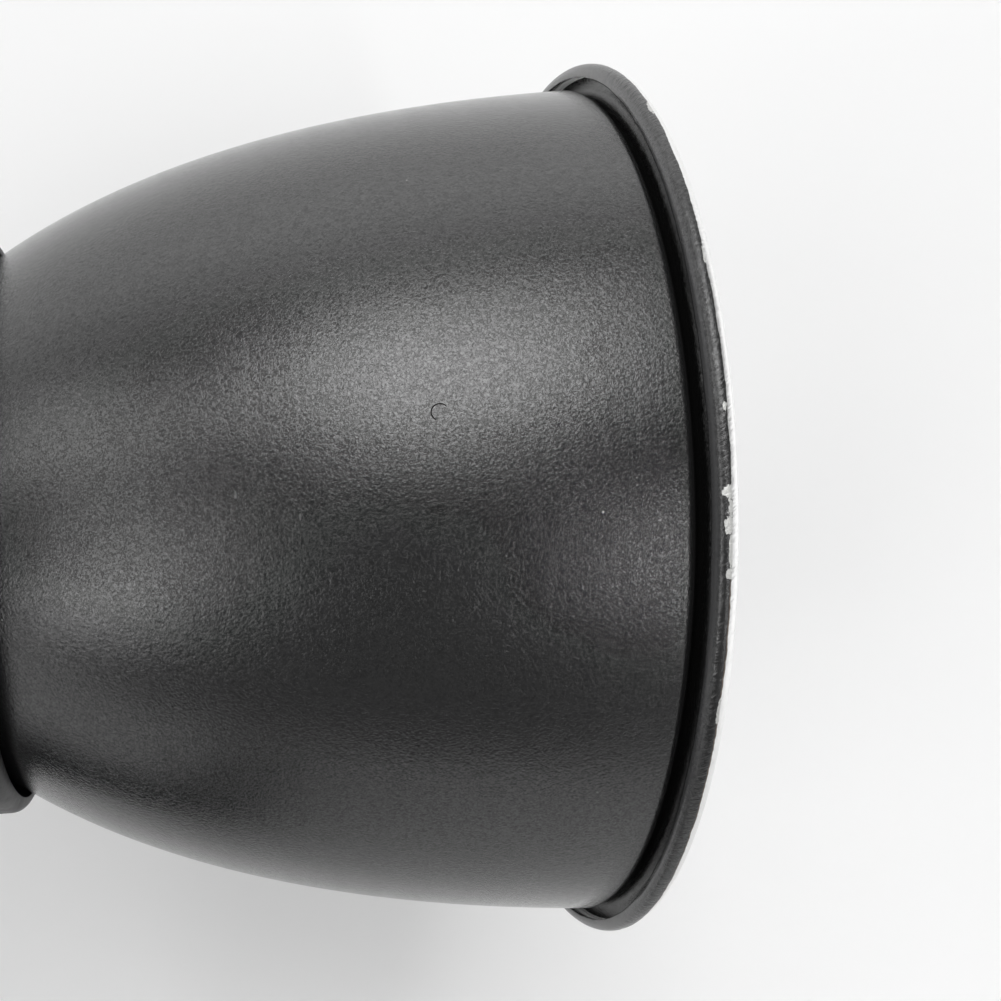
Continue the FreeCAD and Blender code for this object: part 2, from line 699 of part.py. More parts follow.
def bulb_foil():
    """The loosely packed foil, as the round body that it fills."""
    radius = BULB_R - GLASS_WALL - GLUE
    back = BASE_FRONT + BULB_SHOULDER + GLASS_SEAT
    front = BASE_FRONT + BULB_LENGTH - GLASS_WALL - GLUE - radius
    body = rod_x(back, front, radius)
    nose = Part.makeSphere(radius, Vector(front, HANDLE_Y, AXIS_HEIGHT))
    stem = rod_x(BASE_FRONT - GLASS_SEAT, back, FOIL_STEM_R)
    shape = body.fuse(nose).fuse(stem).removeSplitter()
    return round_edges(shape, FOIL_ROUND, outer_edge(back, radius))


def bulb_base():
    inner_r = BULB_BASE_R - BULB_BASE_WALL
    end = BASE_BACK + BASE_END_T
    shell = tube_x(end, BASE_FRONT, BULB_BASE_R, inner_r)
    shell = shell.fuse(rod_x(BASE_BACK, end, BULB_BASE_R - BASE_END_STEP))
    for side in (-1, 1):
        start = AXIS_HEIGHT + side * inner_r
        reach = BULB_BASE_R - inner_r + PIN_REACH
        pin = Part.makeCylinder(PIN_R, reach, Vector(PIN_X, HANDLE_Y, start), Z_DIR * side)
        shell = shell.fuse(pin)
    return shell.removeSplitter()


def bulb_contact():
    bead = rod_x(BASE_BACK - SOLDER_H, BASE_BACK, SOLDER_R)
    return round_edges(bead, EDGE_SOFT, edge_at_x(BASE_BACK - SOLDER_H))


# ---- socket and ejector ----
def socket_shell():
    back = INSULATOR_FLOOR + FACE
    front = BASE_FRONT - SOCKET_SHORT
    shell = tube_x(back, front, SOCKET_R, SOCKET_BORE_R)
    half = SOCKET_SLOT / 2
    slot_back = PIN_X - PIN_R - LOOSE
    slot = block(
        (slot_back, front + CUT),
        (HANDLE_Y - half, HANDLE_Y + half),
        (AXIS_HEIGHT - SOCKET_R - CUT, AXIS_HEIGHT + SOCKET_R + CUT),
    )
    return shell.cut(slot)


def socket_insulator():
    body = rod_x(INSULATOR_BACK, FLANGE_FRONT + INSULATOR_NOSE, INSULATOR_R)
    body = body.fuse(rod_x(FLANGE_BACK, FLANGE_FRONT, INSULATOR_FLANGE_R))
    body = body.cut(rod_x(INSULATOR_FLOOR, FLANGE_FRONT + INSULATOR_NOSE + CUT, SOCKET_R + GLUE))
    body = body.cut(rod_x(INSULATOR_BACK - CUT, INSULATOR_FLOOR + CUT, ROD_R + RUN))
    for y, z in post_places():
        body = body.cut(rod_x(FLANGE_BACK - CUT, FLANGE_FRONT + CUT, SCREW_R + GLUE, y, z))
    return body


def socket_posts():
    posts = []
    for y, z in post_places():
        posts.append(tube_x(FLANGE_FRONT, PLATE_BACK, POST_R, SCREW_R + GLUE, y, z))
    return Part.makeCompound(posts)


def post_screws():
    screws = []
    for y, z in post_places():
        shank = rod_x(FLANGE_BACK, PLATE_BACK + POST_SCREW_GRIP, SCREW_R, y, z)
        head = rod_x(FLANGE_BACK - SCREW_HEAD_H, FLANGE_BACK, SCREW_HEAD_R, y, z)
        screws.append(shank.fuse(head).removeSplitter())
    return Part.makeCompound(screws)


def centre_contact():
    bush = tube_x(CONTACT_BACK, CONTACT_FRONT, CONTACT_R, ROD_TIP_R + GLUE)
    return round_edges(bush, EDGE_FINE, outer_edge(CONTACT_FRONT, CONTACT_R))


def eject_rod():
    rod = rod_x(EJECT_SEAT, CONTACT_BACK, ROD_R)
    return rod.fuse(rod_x(CONTACT_BACK, CONTACT_FRONT - LOOSE, ROD_TIP_R)).removeSplitter()


def eject_button():
    cap = rod_x(EJECT_BACK, EJECT_FLANGE_FRONT, EJECT_R)
    cap = round_edges(cap, EDGE_ROUND, edge_at_x(EJECT_BACK))
    cap = cap.fuse(rod_x(EJECT_SEAT, EJECT_FLANGE_FRONT, EJECT_R + EJECT_FLANGE))
    rod_hole = rod_x(EJECT_SEAT, EJECT_FLANGE_FRONT + CUT, ROD_R + GLUE)
    return cap.cut(rod_hole).removeSplitter()


def eject_spring():
    start = Vector(EJECT_FLANGE_FRONT, HANDLE_Y, AXIS_HEIGHT)
    return coil(start, X_DIR, INSULATOR_BACK - EJECT_FLANGE_FRONT, *EJECT_COIL)


def contact_spring():
    start = Vector(INSULATOR_FLOOR, HANDLE_Y, AXIS_HEIGHT)
    return coil(start, X_DIR, CONTACT_SPRING_LENGTH, *CONTACT_COIL)


# ---- housing ----
def housing_front():
    shell = tube_x(SPLIT, COLLAR_LIP, CUP_R, CUP_INNER_R)
    shell = round_edges(shell, LIP_ROUND, outer_edge(COLLAR_LIP, CUP_R))
    wall_middle = CUP_INNER_R + MERGE
    ledge = tube_x(PLATE_FRONT, PLATE_FRONT + LEDGE_T, wall_middle, CUP_INNER_R - LEDGE_WIDTH)
    shell = shell.fuse(ledge)
    for y, z in screw_places():
        boss = rod_x(PLATE_FRONT, BOSS_END, BOSS_R, y, z)
        shell = shell.fuse(boss.common(rod_x(PLATE_FRONT, COLLAR_LIP, wall_middle)))
    for y, z in screw_places():
        shell = shell.cut(rod_x(PLATE_FRONT - CUT, BOSS_HOLE_END, SCREW_R, y, z))
    return shell.removeSplitter()


def housing_trim():
    back = SPLIT - TRIM_WIDTH / 2
    front = SPLIT + TRIM_WIDTH / 2
    ring = tube_x(back, front, CUP_R + TRIM_STAND, CUP_R + GLUE)
    for x in (back, front):
        ring = round_edges(ring, TRIM_EDGE, outer_edge(x, CUP_R + TRIM_STAND))
    return ring


def mounting_plate():
    plate = tube_x(PLATE_BACK, PLATE_FRONT, PLATE_R, PLATE_BORE_R)
    for angle in head_angles(BAYONET_EARS, EAR_FIRST + TWIST):
        plate = plate.cut(sector(PLATE_BACK - CUT, PLATE_FRONT + CUT, EAR_R + LOOSE,
                                 BAYONET_R - CUT, angle, EAR_ANGLE + EAR_PLAY))
    for y, z in screw_places() + post_places():
        plate = plate.cut(rod_x(PLATE_BACK - CUT, PLATE_FRONT + CUT, SCREW_R + GLUE, y, z))
    return plate


def pad_outline(bottom, top):
    """The rounded rectangle under the cover, shared by the cover and the tongue's plate."""
    half_x = PAD_LENGTH / 2
    half_y = PAD_WIDTH / 2
    pad = block((-half_x, half_x), (HANDLE_Y - half_y, HANDLE_Y + half_y), (bottom, top))
    return round_edges(pad, PAD_CORNER, upright)


def housing_rear():
    shell = rod_x(COVER_BACK, SPLIT, CUP_R)
    shell = round_edges(shell, COVER_ROUND, edge_at_x(COVER_BACK))
    shell = shell.fuse(pad_outline(PAD_TOP_Z, AXIS_HEIGHT - CUP_INNER_R + COVER_WALL))
    for x in (BUTTON_X, LAMP_X):
        shell = shell.fuse(rod_z(SEAT_Z, ROUND_PAD_TOP, PAD_ROUND_R, x))
    cavity = rod_x(COVER_INSIDE, SPLIT + CUT, CUP_INNER_R)
    cavity = round_edges(cavity, COVER_ROUND - COVER_WALL, edge_at_x(COVER_INSIDE))
    for x in (BUTTON_X, LAMP_X):
        cavity = cavity.cut(rod_z(SEAT_Z, ROUND_PAD_TOP, PAD_ROUND_R, x))
    shell = shell.cut(cavity)
    root = SPLIT - SPIGOT_ROOT
    shell = shell.fuse(tube_x(root, PLATE_BACK - FACE, CUP_INNER_R - GLUE, CUP_INNER_R - SPIGOT_WALL))
    shell = shell.fuse(tube_x(root, root + SPIGOT_WEB, CUP_INNER_R + MERGE, CUP_INNER_R - SPIGOT_WALL))
    for y, z in screw_places():
        shell = shell.fuse(rod_x(COVER_INSIDE - MERGE, PLATE_BACK, BOSS_R, y, z))
    for y, z in screw_places():
        shell = shell.cut(rod_x(COVER_BACK - CUT, PLATE_BACK + CUT, SCREW_R + GLUE, y, z))
        shell = shell.cut(rod_x(COVER_BACK - CUT, SCREW_SEAT, SCREW_HEAD_R + GLUE, y, z))
    shell = shell.cut(rod_x(COVER_BACK - CUT, COVER_INSIDE + CUT, HUB_SLEEVE_R + GLUE))
    shell = shell.cut(rod_x(COVER_BACK - CUT, COVER_BACK + DIAL_PLATE_T, DIAL_PLATE_R + GLUE))
    shell = shell.cut(rod_z(AXIS_HEIGHT, ROUND_PAD_TOP + CUT, BUTTON_R + RUN, BUTTON_X))
    shell = shell.cut(rod_z(AXIS_HEIGHT, ROUND_PAD_TOP + CUT, LAMP_R + GLUE, LAMP_X))
    half_w = SYNC_BLOCK_WIDTH / 2 + GLUE
    half_h = SYNC_BLOCK_HEIGHT / 2 + GLUE
    shell = shell.cut(block(
        (SYNC_X - half_w, SYNC_X + half_w),
        (COVER_SIDE_Y - CUT, COVER_SIDE_Y + SYNC_DEPTH),
        (AXIS_HEIGHT - half_h, AXIS_HEIGHT + half_h),
    ))
    for x, y in pad_screw_places():
        hole_top = PAD_TOP_Z + TONGUE_SCREW_GRIP + LOOSE
        shell = shell.cut(rod_z(PAD_TOP_Z - CUT, hole_top, SCREW_R, x, y))
    return shell.removeSplitter()


def pad_screw_places():
    reach_x = PAD_LENGTH / 2 - TONGUE_SCREW_X
    reach_y = PAD_WIDTH / 2 - TONGUE_SCREW_Y
    return [(sx * reach_x, HANDLE_Y + sy * reach_y) for sx in (-1, 1) for sy in (-1, 1)]


def housing_screws():
    screws = []
    head_back = SCREW_SEAT - SCREW_HEAD_H
    for y, z in screw_places():
        shank = rod_x(SCREW_SEAT, BOSS_HOLE_END - BLIND_END, SCREW_R, y, z)
        head = rod_x(head_back, SCREW_SEAT, SCREW_HEAD_R, y, z)
        slot = block((head_back - CUT, head_back + DRIVER_SLOT),
                     (y - SCREW_HEAD_R - CUT, y + SCREW_HEAD_R + CUT),
                     (z - DRIVER_SLOT / 2, z + DRIVER_SLOT / 2))
        screws.append(shank.fuse(head.cut(slot)).removeSplitter())
    return Part.makeCompound(screws)


# ---- dial, board and small parts of the rear cover ----
def dial_plate():
    return tube_x(COVER_BACK, COVER_BACK + DIAL_PLATE_T, DIAL_PLATE_R, HUB_SLEEVE_R + GLUE)


def dial_disc():
    front = COVER_BACK - FACE
    disc = tube_x(front - DIAL_T, front, DIAL_R, HUB_SLEEVE_R + RUN)
    for angle in head_angles(DIAL_NOTCHES, 0.0):
        y, z = on_circle(DIAL_R, angle)
        disc = disc.cut(rod_x(front - DIAL_T - CUT, front + CUT, DIAL_NOTCH_R, y, z))
    return disc


def dial_hub():
    front = COVER_BACK - 2 * FACE - DIAL_T
    sleeve = tube_x(front, COVER_INSIDE, HUB_SLEEVE_R, EJECT_R + RUN)
    return sleeve.fuse(tube_x(front - HUB_T, front, HUB_R, EJECT_R + RUN)).removeSplitter()


def contact_board():
    board = tube_x(BOARD_BACK, BOARD_FRONT, BOARD_R, BOARD_HOLE_R)
    for y, z in screw_places():
        board = board.cut(rod_x(BOARD_BACK - CUT, BOARD_FRONT + CUT, BOSS_R + LOOSE, y, z))
    return board


def capacitor():
    z = AXIS_HEIGHT - CAPACITOR_LENGTH / 2
    can = rod_z(z, z + CAPACITOR_LENGTH, CAPACITOR_R, CAPACITOR_X, HANDLE_Y + CAPACITOR_Y)
    return round_edges(can, EDGE_SOFT, level)


def capacitor_clip():
    y = HANDLE_Y + CAPACITOR_Y
    return tube_z(AXIS_HEIGHT - CLIP_WIDTH / 2, AXIS_HEIGHT + CLIP_WIDTH / 2,
                  CAPACITOR_R + CLIP_T, CAPACITOR_R + GLUE, CAPACITOR_X, y)


def board_resistor():
    y = HANDLE_Y + RESISTOR_Y
    z = AXIS_HEIGHT - RESISTOR_LENGTH / 2
    x = BOARD_FRONT + RESISTOR_R + FACE
    body = rod_z(z, z + RESISTOR_LENGTH, RESISTOR_R, x, y)
    lead = rod_z(z - LEAD_LENGTH, z + RESISTOR_LENGTH + LEAD_LENGTH, LEAD_R, x, y)
    return body.fuse(lead).removeSplitter()


def bus_wires():
    wires = []
    for y in (HANDLE_Y - WIRE_SPREAD, HANDLE_Y + WIRE_SPREAD):
        wires.append(rod_x(BOARD_FRONT, FLANGE_BACK, WIRE_R, y, AXIS_HEIGHT - WIRE_DROP))
    return Part.makeCompound(wires)


def switch_block():
    front = BUTTON_X + BUTTON_R + SWITCH_MARGIN
    body = block(
        (BOARD_FRONT, front),
        (HANDLE_Y - SWITCH_WIDTH / 2, HANDLE_Y + SWITCH_WIDTH / 2),
        (SWITCH_TOP - SWITCH_DEPTH, SWITCH_TOP),
    )
    return round_edges(body, EDGE_FINE, edge_at_x(front))


def test_button():
    top = ROUND_PAD_TOP + BUTTON_LEFT_PROUD + BUTTON_TRAVEL
    stem = rod_z(FLANGE_BOTTOM_Z, top, BUTTON_R, BUTTON_X)
    stem = round_edges(stem, EDGE_SOFT, edge_at_z(top))
    flange = rod_z(FLANGE_BOTTOM_Z, FLANGE_TOP_Z, BUTTON_R + BUTTON_FLANGE, BUTTON_X)
    return stem.fuse(flange).removeSplitter()


def test_spring():
    start = Vector(BUTTON_X, HANDLE_Y, SWITCH_TOP)
    return coil(start, Z_DIR, FLANGE_BOTTOM_Z - SWITCH_TOP, *TEST_COIL)


def lamp_lens():
    top = ROUND_PAD_TOP + LAMP_PROUD
    lens = rod_z(SEAT_Z, top, LAMP_R, LAMP_X)
    lens = round_edges(lens, LENS_ROUND, edge_at_z(top))
    return lens.cut(rod_z(SEAT_Z - CUT, top - LENS_CROWN, LAMP_R - LENS_WALL, LAMP_X))


def lamp_bulb():
    top = ROUND_PAD_TOP + LAMP_PROUD - LENS_CROWN - LOOSE
    glass = rod_z(SWITCH_TOP, top, LAMP_R - LENS_WALL - LOOSE, LAMP_X)
    return round_edges(glass, EDGE_ROUND, edge_at_z(top))


def sync_block():
    outside = COVER_SIDE_Y - SYNC_BLOCK_PROUD
    body = block(
        (SYNC_X - SYNC_BLOCK_WIDTH / 2, SYNC_X + SYNC_BLOCK_WIDTH / 2),
        (outside, outside + SYNC_DEPTH + SYNC_FLOOR),
        (AXIS_HEIGHT - SYNC_BLOCK_HEIGHT / 2, AXIS_HEIGHT + SYNC_BLOCK_HEIGHT / 2),
    )
    body = round_edges(body, EDGE_ROUND, lambda edge: edge.BoundBox.YLength > SYNC_DEPTH)
    for x in sync_places():
        body = body.cut(rod_y(outside - CUT, outside + SYNC_DEPTH + SYNC_FLOOR + CUT,
                              SYNC_SLEEVE_R + GLUE, x, AXIS_HEIGHT))
    return body


def sync_places():
    return (SYNC_X - SYNC_SPACING / 2, SYNC_X + SYNC_SPACING / 2)


def sync_sleeves():
    outside = COVER_SIDE_Y - SYNC_BLOCK_PROUD
    mouth = outside - SLEEVE_PROUD
    sleeves = []
    for x in sync_places():
        sleeve = rod_y(mouth, outside + SYNC_DEPTH + SYNC_FLOOR, SYNC_SLEEVE_R, x, AXIS_HEIGHT)
        sleeve = sleeve.cut(rod_y(mouth - CUT, mouth + SYNC_DEPTH, SYNC_BORE_R, x, AXIS_HEIGHT))
        sleeves.append(sleeve)
    return Part.makeCompound(sleeves)


# ---- tilt joint ----
def tilt_tongue():
    bottom = PAD_TOP_Z - TONGUE_PLATE_T
    plate = pad_outline(bottom, PAD_TOP_Z)
    leg = block(
        (-TONGUE_R, TONGUE_R),
        (HANDLE_Y - TONGUE_T / 2, HANDLE_Y + TONGUE_T / 2),
        (PIVOT_Z, bottom + MERGE),
    )
    eye = rod_y(HANDLE_Y - TONGUE_T / 2, HANDLE_Y + TONGUE_T / 2, TONGUE_R, 0, PIVOT_Z)
    tongue = plate.fuse(leg).fuse(eye)
    tongue = tongue.cut(rod_y(HANDLE_Y - TONGUE_T, HANDLE_Y + TONGUE_T, BOLT_R + RUN, 0, PIVOT_Z))
    for x, y in pad_screw_places():
        tongue = tongue.cut(rod_z(bottom - CUT, PAD_TOP_Z + CUT, SCREW_R + GLUE, x, y))
    return tongue.removeSplitter()


def tongue_screws():
    screws = []
    bottom = PAD_TOP_Z - TONGUE_PLATE_T
    for x, y in pad_screw_places():
        shank = rod_z(bottom, PAD_TOP_Z + TONGUE_SCREW_GRIP, SCREW_R, x, y)
        head = rod_z(bottom - SCREW_HEAD_H, bottom, SCREW_HEAD_R, x, y)
        screws.append(shank.fuse(head).removeSplitter())
    return Part.makeCompound(screws)


def pivot_washers():
    washers = []
    for start in (HANDLE_Y - EAR_IN, HANDLE_Y + WASHER_IN):
        washers.append(tube_y(start, start + WASHER_T, TONGUE_R - WASHER_INSET, BOLT_R + GLUE, 0, PIVOT_Z))
    return Part.makeCompound(washers)


def release_bore():
    """The blind bore for the release button, from outside the tube to its floor in the yoke's plug."""
    return rod_x(-TUBE_R - CUT, RELEASE_FLOOR, RELEASE_R + RUN, HANDLE_Y, RELEASE_Z)


def yoke():
    base = rod_z(TUBE_TOP, YOKE_TOP, GRIP_R)
    base = round_edges(base, EDGE_SOFT, edge_at_z(YOKE_TOP))
    shape = base.fuse(rod_z(PLUG_BOTTOM, TUBE_TOP, TUBE_BORE_R - GLUE))
    for side in (-1, 1):
        span = sorted((HANDLE_Y + side * EAR_IN, HANDLE_Y + side * EAR_OUT))
        ear = block((-TONGUE_R, TONGUE_R), span, (YOKE_TOP - YOKE_ROOT, PIVOT_Z))
        ear = ear.fuse(rod_y(span[0], span[1], TONGUE_R, 0, PIVOT_Z))
        shape = shape.fuse(ear)
    cross = rod_y(HANDLE_Y - EAR_OUT - CUT, HANDLE_Y + EAR_OUT + CUT, BOLT_R + GLUE, 0, PIVOT_Z)
    return shape.cut(cross).cut(release_bore()).removeSplitter()


def pivot_bolt():
    head_at = HANDLE_Y - EAR_OUT
    head_end = head_at - BOLT_HEAD_H
    bolt = rod_y(head_at, HANDLE_Y + EAR_OUT + KNOB_H - BOLT_SHORT, BOLT_R, 0, PIVOT_Z)
    head = rod_y(head_end, head_at, BOLT_HEAD_R, 0, PIVOT_Z)
    head = round_edges(head, EDGE_SOFT, edge_at_y(head_end))
    slot = block((-BOLT_HEAD_R - CUT, BOLT_HEAD_R + CUT),
                 (head_end - CUT, head_end + DRIVER_SLOT),
                 (PIVOT_Z - DRIVER_SLOT / 2, PIVOT_Z + DRIVER_SLOT / 2))
    return bolt.fuse(head.cut(slot)).removeSplitter()


def tilt_knob():
    start = HANDLE_Y + EAR_OUT + FACE
    end = start + KNOB_H
    knob = rod_y(start, end, KNOB_R, 0, PIVOT_Z)
    knob = round_edges(knob, EDGE_SOFT, edge_at_y(end))
    reach = KNOB_R + FLUTE_OUT * KNOB_FLUTE_R

    def cutter_at(angle):
        return rod_y(start + KNOB_SKIRT, end + CUT, KNOB_FLUTE_R,
                     reach * math.cos(angle), PIVOT_Z + reach * math.sin(angle))

    knob = fluted(knob, KNOB_FLUTES, cutter_at)
    return knob.cut(rod_y(start - CUT, end + CUT, BOLT_R + RUN, 0, PIVOT_Z))


# ---- handle ----
def handle_tube():
    return tube_z(TUBE_BOTTOM, TUBE_TOP, TUBE_R, TUBE_BORE_R).cut(release_bore())


def grip():
    sleeve = tube_z(GRIP_BOTTOM, GRIP_TOP, GRIP_R, TUBE_R + GLUE)
    step = (GRIP_TOP - GRIP_BOTTOM) / (GRIP_GROOVES + 1)
    for index in range(GRIP_GROOVES):
        z = GRIP_BOTTOM + step * (index + 1)
        centre = Vector(0, HANDLE_Y, z)
        sleeve = sleeve.cut(Part.makeTorus(GRIP_R + GRIP_GROOVE_OUT, GRIP_GROOVE_R, centre, Z_DIR))
    return sleeve


def grip_rings():
    rings = []
    for z in (GRIP_BOTTOM - RING_HEIGHT, GRIP_TOP):
        solid = rod_z(z, z + RING_HEIGHT, GRIP_R + RING_PROUD)
        solid = round_edges(solid, EDGE_FINE, level)
        rings.append(solid.cut(rod_z(z - CUT, z + RING_HEIGHT + CUT, TUBE_R + GLUE)))
    return Part.makeCompound(rings)


def battery_cell(bottom):
    can = rod_z(bottom, bottom + CELL_LENGTH, CELL_R)
    can = round_edges(can, EDGE_SOFT, level)
    top = bottom + CELL_LENGTH
    return can.fuse(rod_z(top, top + CELL_TIP_H, CELL_TIP_R)).removeSplitter()


def battery_cells():
    return Part.makeCompound([battery_cell(bottom) for bottom in (LOWER_CELL_Z, UPPER_CELL_Z)])


def top_contact():
    disc = rod_z(TOP_CONTACT_Z, CUP_Z, TOP_CONTACT_R)
    return disc.fuse(rod_z(CUP_Z, CUP_Z + TOP_CONTACT_PIN, TOP_CONTACT_PIN_R)).removeSplitter()


def contact_insulator():
    disc = rod_z(CUP_Z, PLUG_BOTTOM, TUBE_BORE_R - GLUE)
    return disc.cut(rod_z(CUP_Z - CUT, CUP_Z + TOP_CONTACT_PIN + GLUE, TOP_CONTACT_PIN_R + GLUE))


def release_button():
    outside = -TUBE_R - RELEASE_LEFT_PROUD - RELEASE_TRAVEL
    button = rod_x(outside, RELEASE_INNER, RELEASE_R, HANDLE_Y, RELEASE_Z)
    return round_edges(button, EDGE_SOFT, edge_at_x(outside))


def release_spring():
    start = Vector(RELEASE_INNER, HANDLE_Y, RELEASE_Z)
    return coil(start, X_DIR, RELEASE_FLOOR - RELEASE_INNER, *RELEASE_COIL)


def end_cap():
    top = TUBE_BOTTOM - SEAL_T
    bottom = top - CAP_H
    cap = rod_z(bottom, top, CAP_R)
    cap = round_edges(cap, CAP_ROUND, edge_at_z(bottom))
    reach = CAP_R + FLUTE_OUT * CAP_FLUTE_R

    def cutter_at(angle):
        return rod_z(bottom - CUT, top - CAP_BAND, CAP_FLUTE_R,
                     reach * math.cos(angle), HANDLE_Y + reach * math.sin(angle))

    cap = fluted(cap, CAP_FLUTES, cutter_at)
    cap = cap.fuse(rod_z(top, SPRING_BOTTOM, TUBE_BORE_R - RUN))
    coin_slot = block(
        (-CAP_SLOT_LENGTH / 2, CAP_SLOT_LENGTH / 2),
        (HANDLE_Y - CAP_SLOT_WIDTH / 2, HANDLE_Y + CAP_SLOT_WIDTH / 2),
        (bottom - CUT, bottom + CAP_SLOT_DEPTH),
    )
    return cap.cut(coin_slot).removeSplitter()


def cap_seal():
    return tube_z(TUBE_BOTTOM - SEAL_T, TUBE_BOTTOM, TUBE_R, TUBE_BORE_R + GLUE)


def battery_spring():
    return coil(Vector(0, HANDLE_Y, SPRING_BOTTOM), Z_DIR, BATTERY_SPRING_LENGTH, *BATTERY_COIL)


# ---- camera bar ----
def slot_cut(width, bottom, top):
    half = width / 2
    shape = block((-half, half), (-SLOT_FRONT, SLOT_BACK), (bottom, top))
    for y in (-SLOT_FRONT, SLOT_BACK):
        shape = shape.fuse(rod_z(bottom, top, half, 0, y))
    return shape


def bar_blank(bottom, top, width, end):
    half = width / 2
    nose = -SLOT_FRONT - SLOT_WIDTH / 2 - BAR_END_WALL + half
    shape = block((-half, half), (nose, end), (bottom, top))
    return shape.fuse(rod_z(bottom, top, half, 0, nose)).removeSplitter()


def bar_screw_places():
    return [(0.0, BAR_END - BAR_SCREW_INSET), (0.0, BAR_END - CLAMP_TAB + BAR_SCREW_INSET)]


def bar_screw_head(x, y, gap):
    """The countersunk head, or with a gap round it the seat for it."""
    base = Vector(x, y, BAR_TOP - BAR_SCREW_HEAD_H)
    return Part.makeCone(BAR_SCREW_R + gap, BAR_SCREW_HEAD_R + gap, BAR_SCREW_HEAD_H, base, Z_DIR)


def camera_bar():
    bar = bar_blank(BAR_BOTTOM, BAR_TOP, BAR_WIDTH, BAR_END)
    bar = round_edges(bar, EDGE_SOFT, edge_at_z(BAR_TOP))
    bar = bar.cut(slot_cut(SLOT_WIDTH, BAR_BOTTOM - CUT, BAR_TOP + CUT))
    for x, y in bar_screw_places():
        bar = bar.cut(rod_z(BAR_BOTTOM - CUT, BAR_TOP + CUT, BAR_SCREW_R + GLUE, x, y))
        bar = bar.cut(bar_screw_head(x, y, GLUE))
    return bar


def camera_pad():
    pad = bar_blank(BAR_TOP, 0.0, BAR_WIDTH - 2 * PAD_INSET, PAD_END)
    return pad.cut(slot_cut(SLOT_WIDTH + PAD_INSET, BAR_TOP - CUT, CUT))


def bar_screws():
    screws = []
    for x, y in bar_screw_places():
        shank = rod_z(TAB_BOTTOM + LOOSE, BAR_TOP - BAR_SCREW_HEAD_H, BAR_SCREW_R, x, y)
        head = bar_screw_head(x, y, 0.0)
        slot = block((x - BAR_SCREW_HEAD_R - CUT, x + BAR_SCREW_HEAD_R + CUT),
                     (y - DRIVER_SLOT / 2, y + DRIVER_SLOT / 2),
                     (BAR_TOP - DRIVER_SLOT, BAR_TOP + CUT))
        screws.append(shank.fuse(head).cut(slot).removeSplitter())
    return Part.makeCompound(screws)


def bar_clamp():
    shape = rod_z(CLAMP_BOTTOM, CLAMP_TOP, CLAMP_R)
    tab_half = BAR_WIDTH / 2 - CLAMP_TAB_INSET
    tab = block((-tab_half, tab_half), (BAR_END - CLAMP_TAB, HANDLE_Y), (TAB_BOTTOM, TAB_TOP))
    lug_x = CLAMP_SLIT / 2 + CLAMP_LUG_T
    lug_end = HANDLE_Y + CLAMP_R + CLAMP_LUG
    lugs = block((-lug_x, lug_x), (HANDLE_Y, lug_end),
                 (CLAMP_BOTTOM + CLAMP_LUG_INSET, CLAMP_TOP - CLAMP_LUG_INSET))
    at_end = edge_at_y(lug_end)
    lugs = round_edges(lugs, CLAMP_LUG_CORNER, lambda edge: at_end(edge) and level(edge))
    shape = shape.fuse(tab).fuse(lugs)
    shape = shape.cut(rod_z(CLAMP_BOTTOM - CUT, CLAMP_TOP + CUT, TUBE_R + GLUE))
    half = CLAMP_SLIT / 2
    shape = shape.cut(block((-half, half), (HANDLE_Y + TUBE_R - CUT, lug_end + CUT),
                            (CLAMP_BOTTOM - CUT, CLAMP_TOP + CUT)))
    y, z = clamp_screw_place()
    shape = shape.cut(rod_x(-lug_x - CUT, lug_x + CUT, CLAMP_SCREW_R + GLUE, y, z))
    for x, y in bar_screw_places():
        shape = shape.cut(rod_z(TAB_BOTTOM - CUT, TAB_TOP + CUT, BAR_SCREW_R, x, y))
    return shape.removeSplitter()


def clamp_screw_place():
    return HANDLE_Y + CLAMP_R + CLAMP_LUG / 2, (CLAMP_BOTTOM + CLAMP_TOP) / 2


def clamp_screw():
    y, z = clamp_screw_place()
    lug_x = CLAMP_SLIT / 2 + CLAMP_LUG_T
    nut_end = -lug_x - CLAMP_NUT_H
    head_end = lug_x + CLAMP_HEAD_H
    shank = rod_x(nut_end, lug_x, CLAMP_SCREW_R, y, z)
    head = rod_x(lug_x, head_end, CLAMP_HEAD_R, y, z)
    head = round_edges(head, EDGE_SOFT, edge_at_x(head_end))
    slot = block((head_end - DRIVER_SLOT, head_end + CUT),
                 (y - CLAMP_HEAD_R - CUT, y + CLAMP_HEAD_R + CUT),
                 (z - DRIVER_SLOT / 2, z + DRIVER_SLOT / 2))
    nut = tube_x(nut_end, -lug_x, CLAMP_NUT_R, CLAMP_SCREW_R + GLUE, y, z)
    return Part.makeCompound([shank.fuse(head).cut(slot).removeSplitter(), nut])


def screw_bush():
    bush = rod_z(BUSH_FLANGE_BOTTOM, BAR_TOP - FACE, SLOT_WIDTH / 2 - RUN, 0, 0)
    bush = bush.fuse(rod_z(BUSH_FLANGE_BOTTOM, BUSH_FLANGE_TOP, BUSH_FLANGE_R, 0, 0))
    bore = rod_z(BUSH_FLANGE_BOTTOM - CUT, BAR_TOP + CUT, CAMERA_SHANK_R + RUN, 0, 0)
    return bush.cut(bore).removeSplitter()


def camera_screw():
    head_top = BUSH_FLANGE_BOTTOM - FACE
    head_bottom = head_top - THUMB_H
    head = rod_z(head_bottom, head_top, THUMB_R, 0, 0)
    head = round_edges(head, EDGE_ROUND, edge_at_z(head_bottom))
    reach = THUMB_R + FLUTE_OUT * THUMB_FLUTE_R

    def cutter_at(angle):
        return rod_z(head_bottom - CUT, head_top + CUT, THUMB_FLUTE_R,
                     reach * math.cos(angle), reach * math.sin(angle))

    head = fluted(head, THUMB_FLUTES, cutter_at)
    shank = rod_z(head_top, 0.0, CAMERA_SHANK_R, 0, 0)
    thread = rod_z(0.0, CAMERA_THREAD_LENGTH, CAMERA_THREAD_R, 0, 0)
    return head.fuse(shank).fuse(thread).removeSplitter()


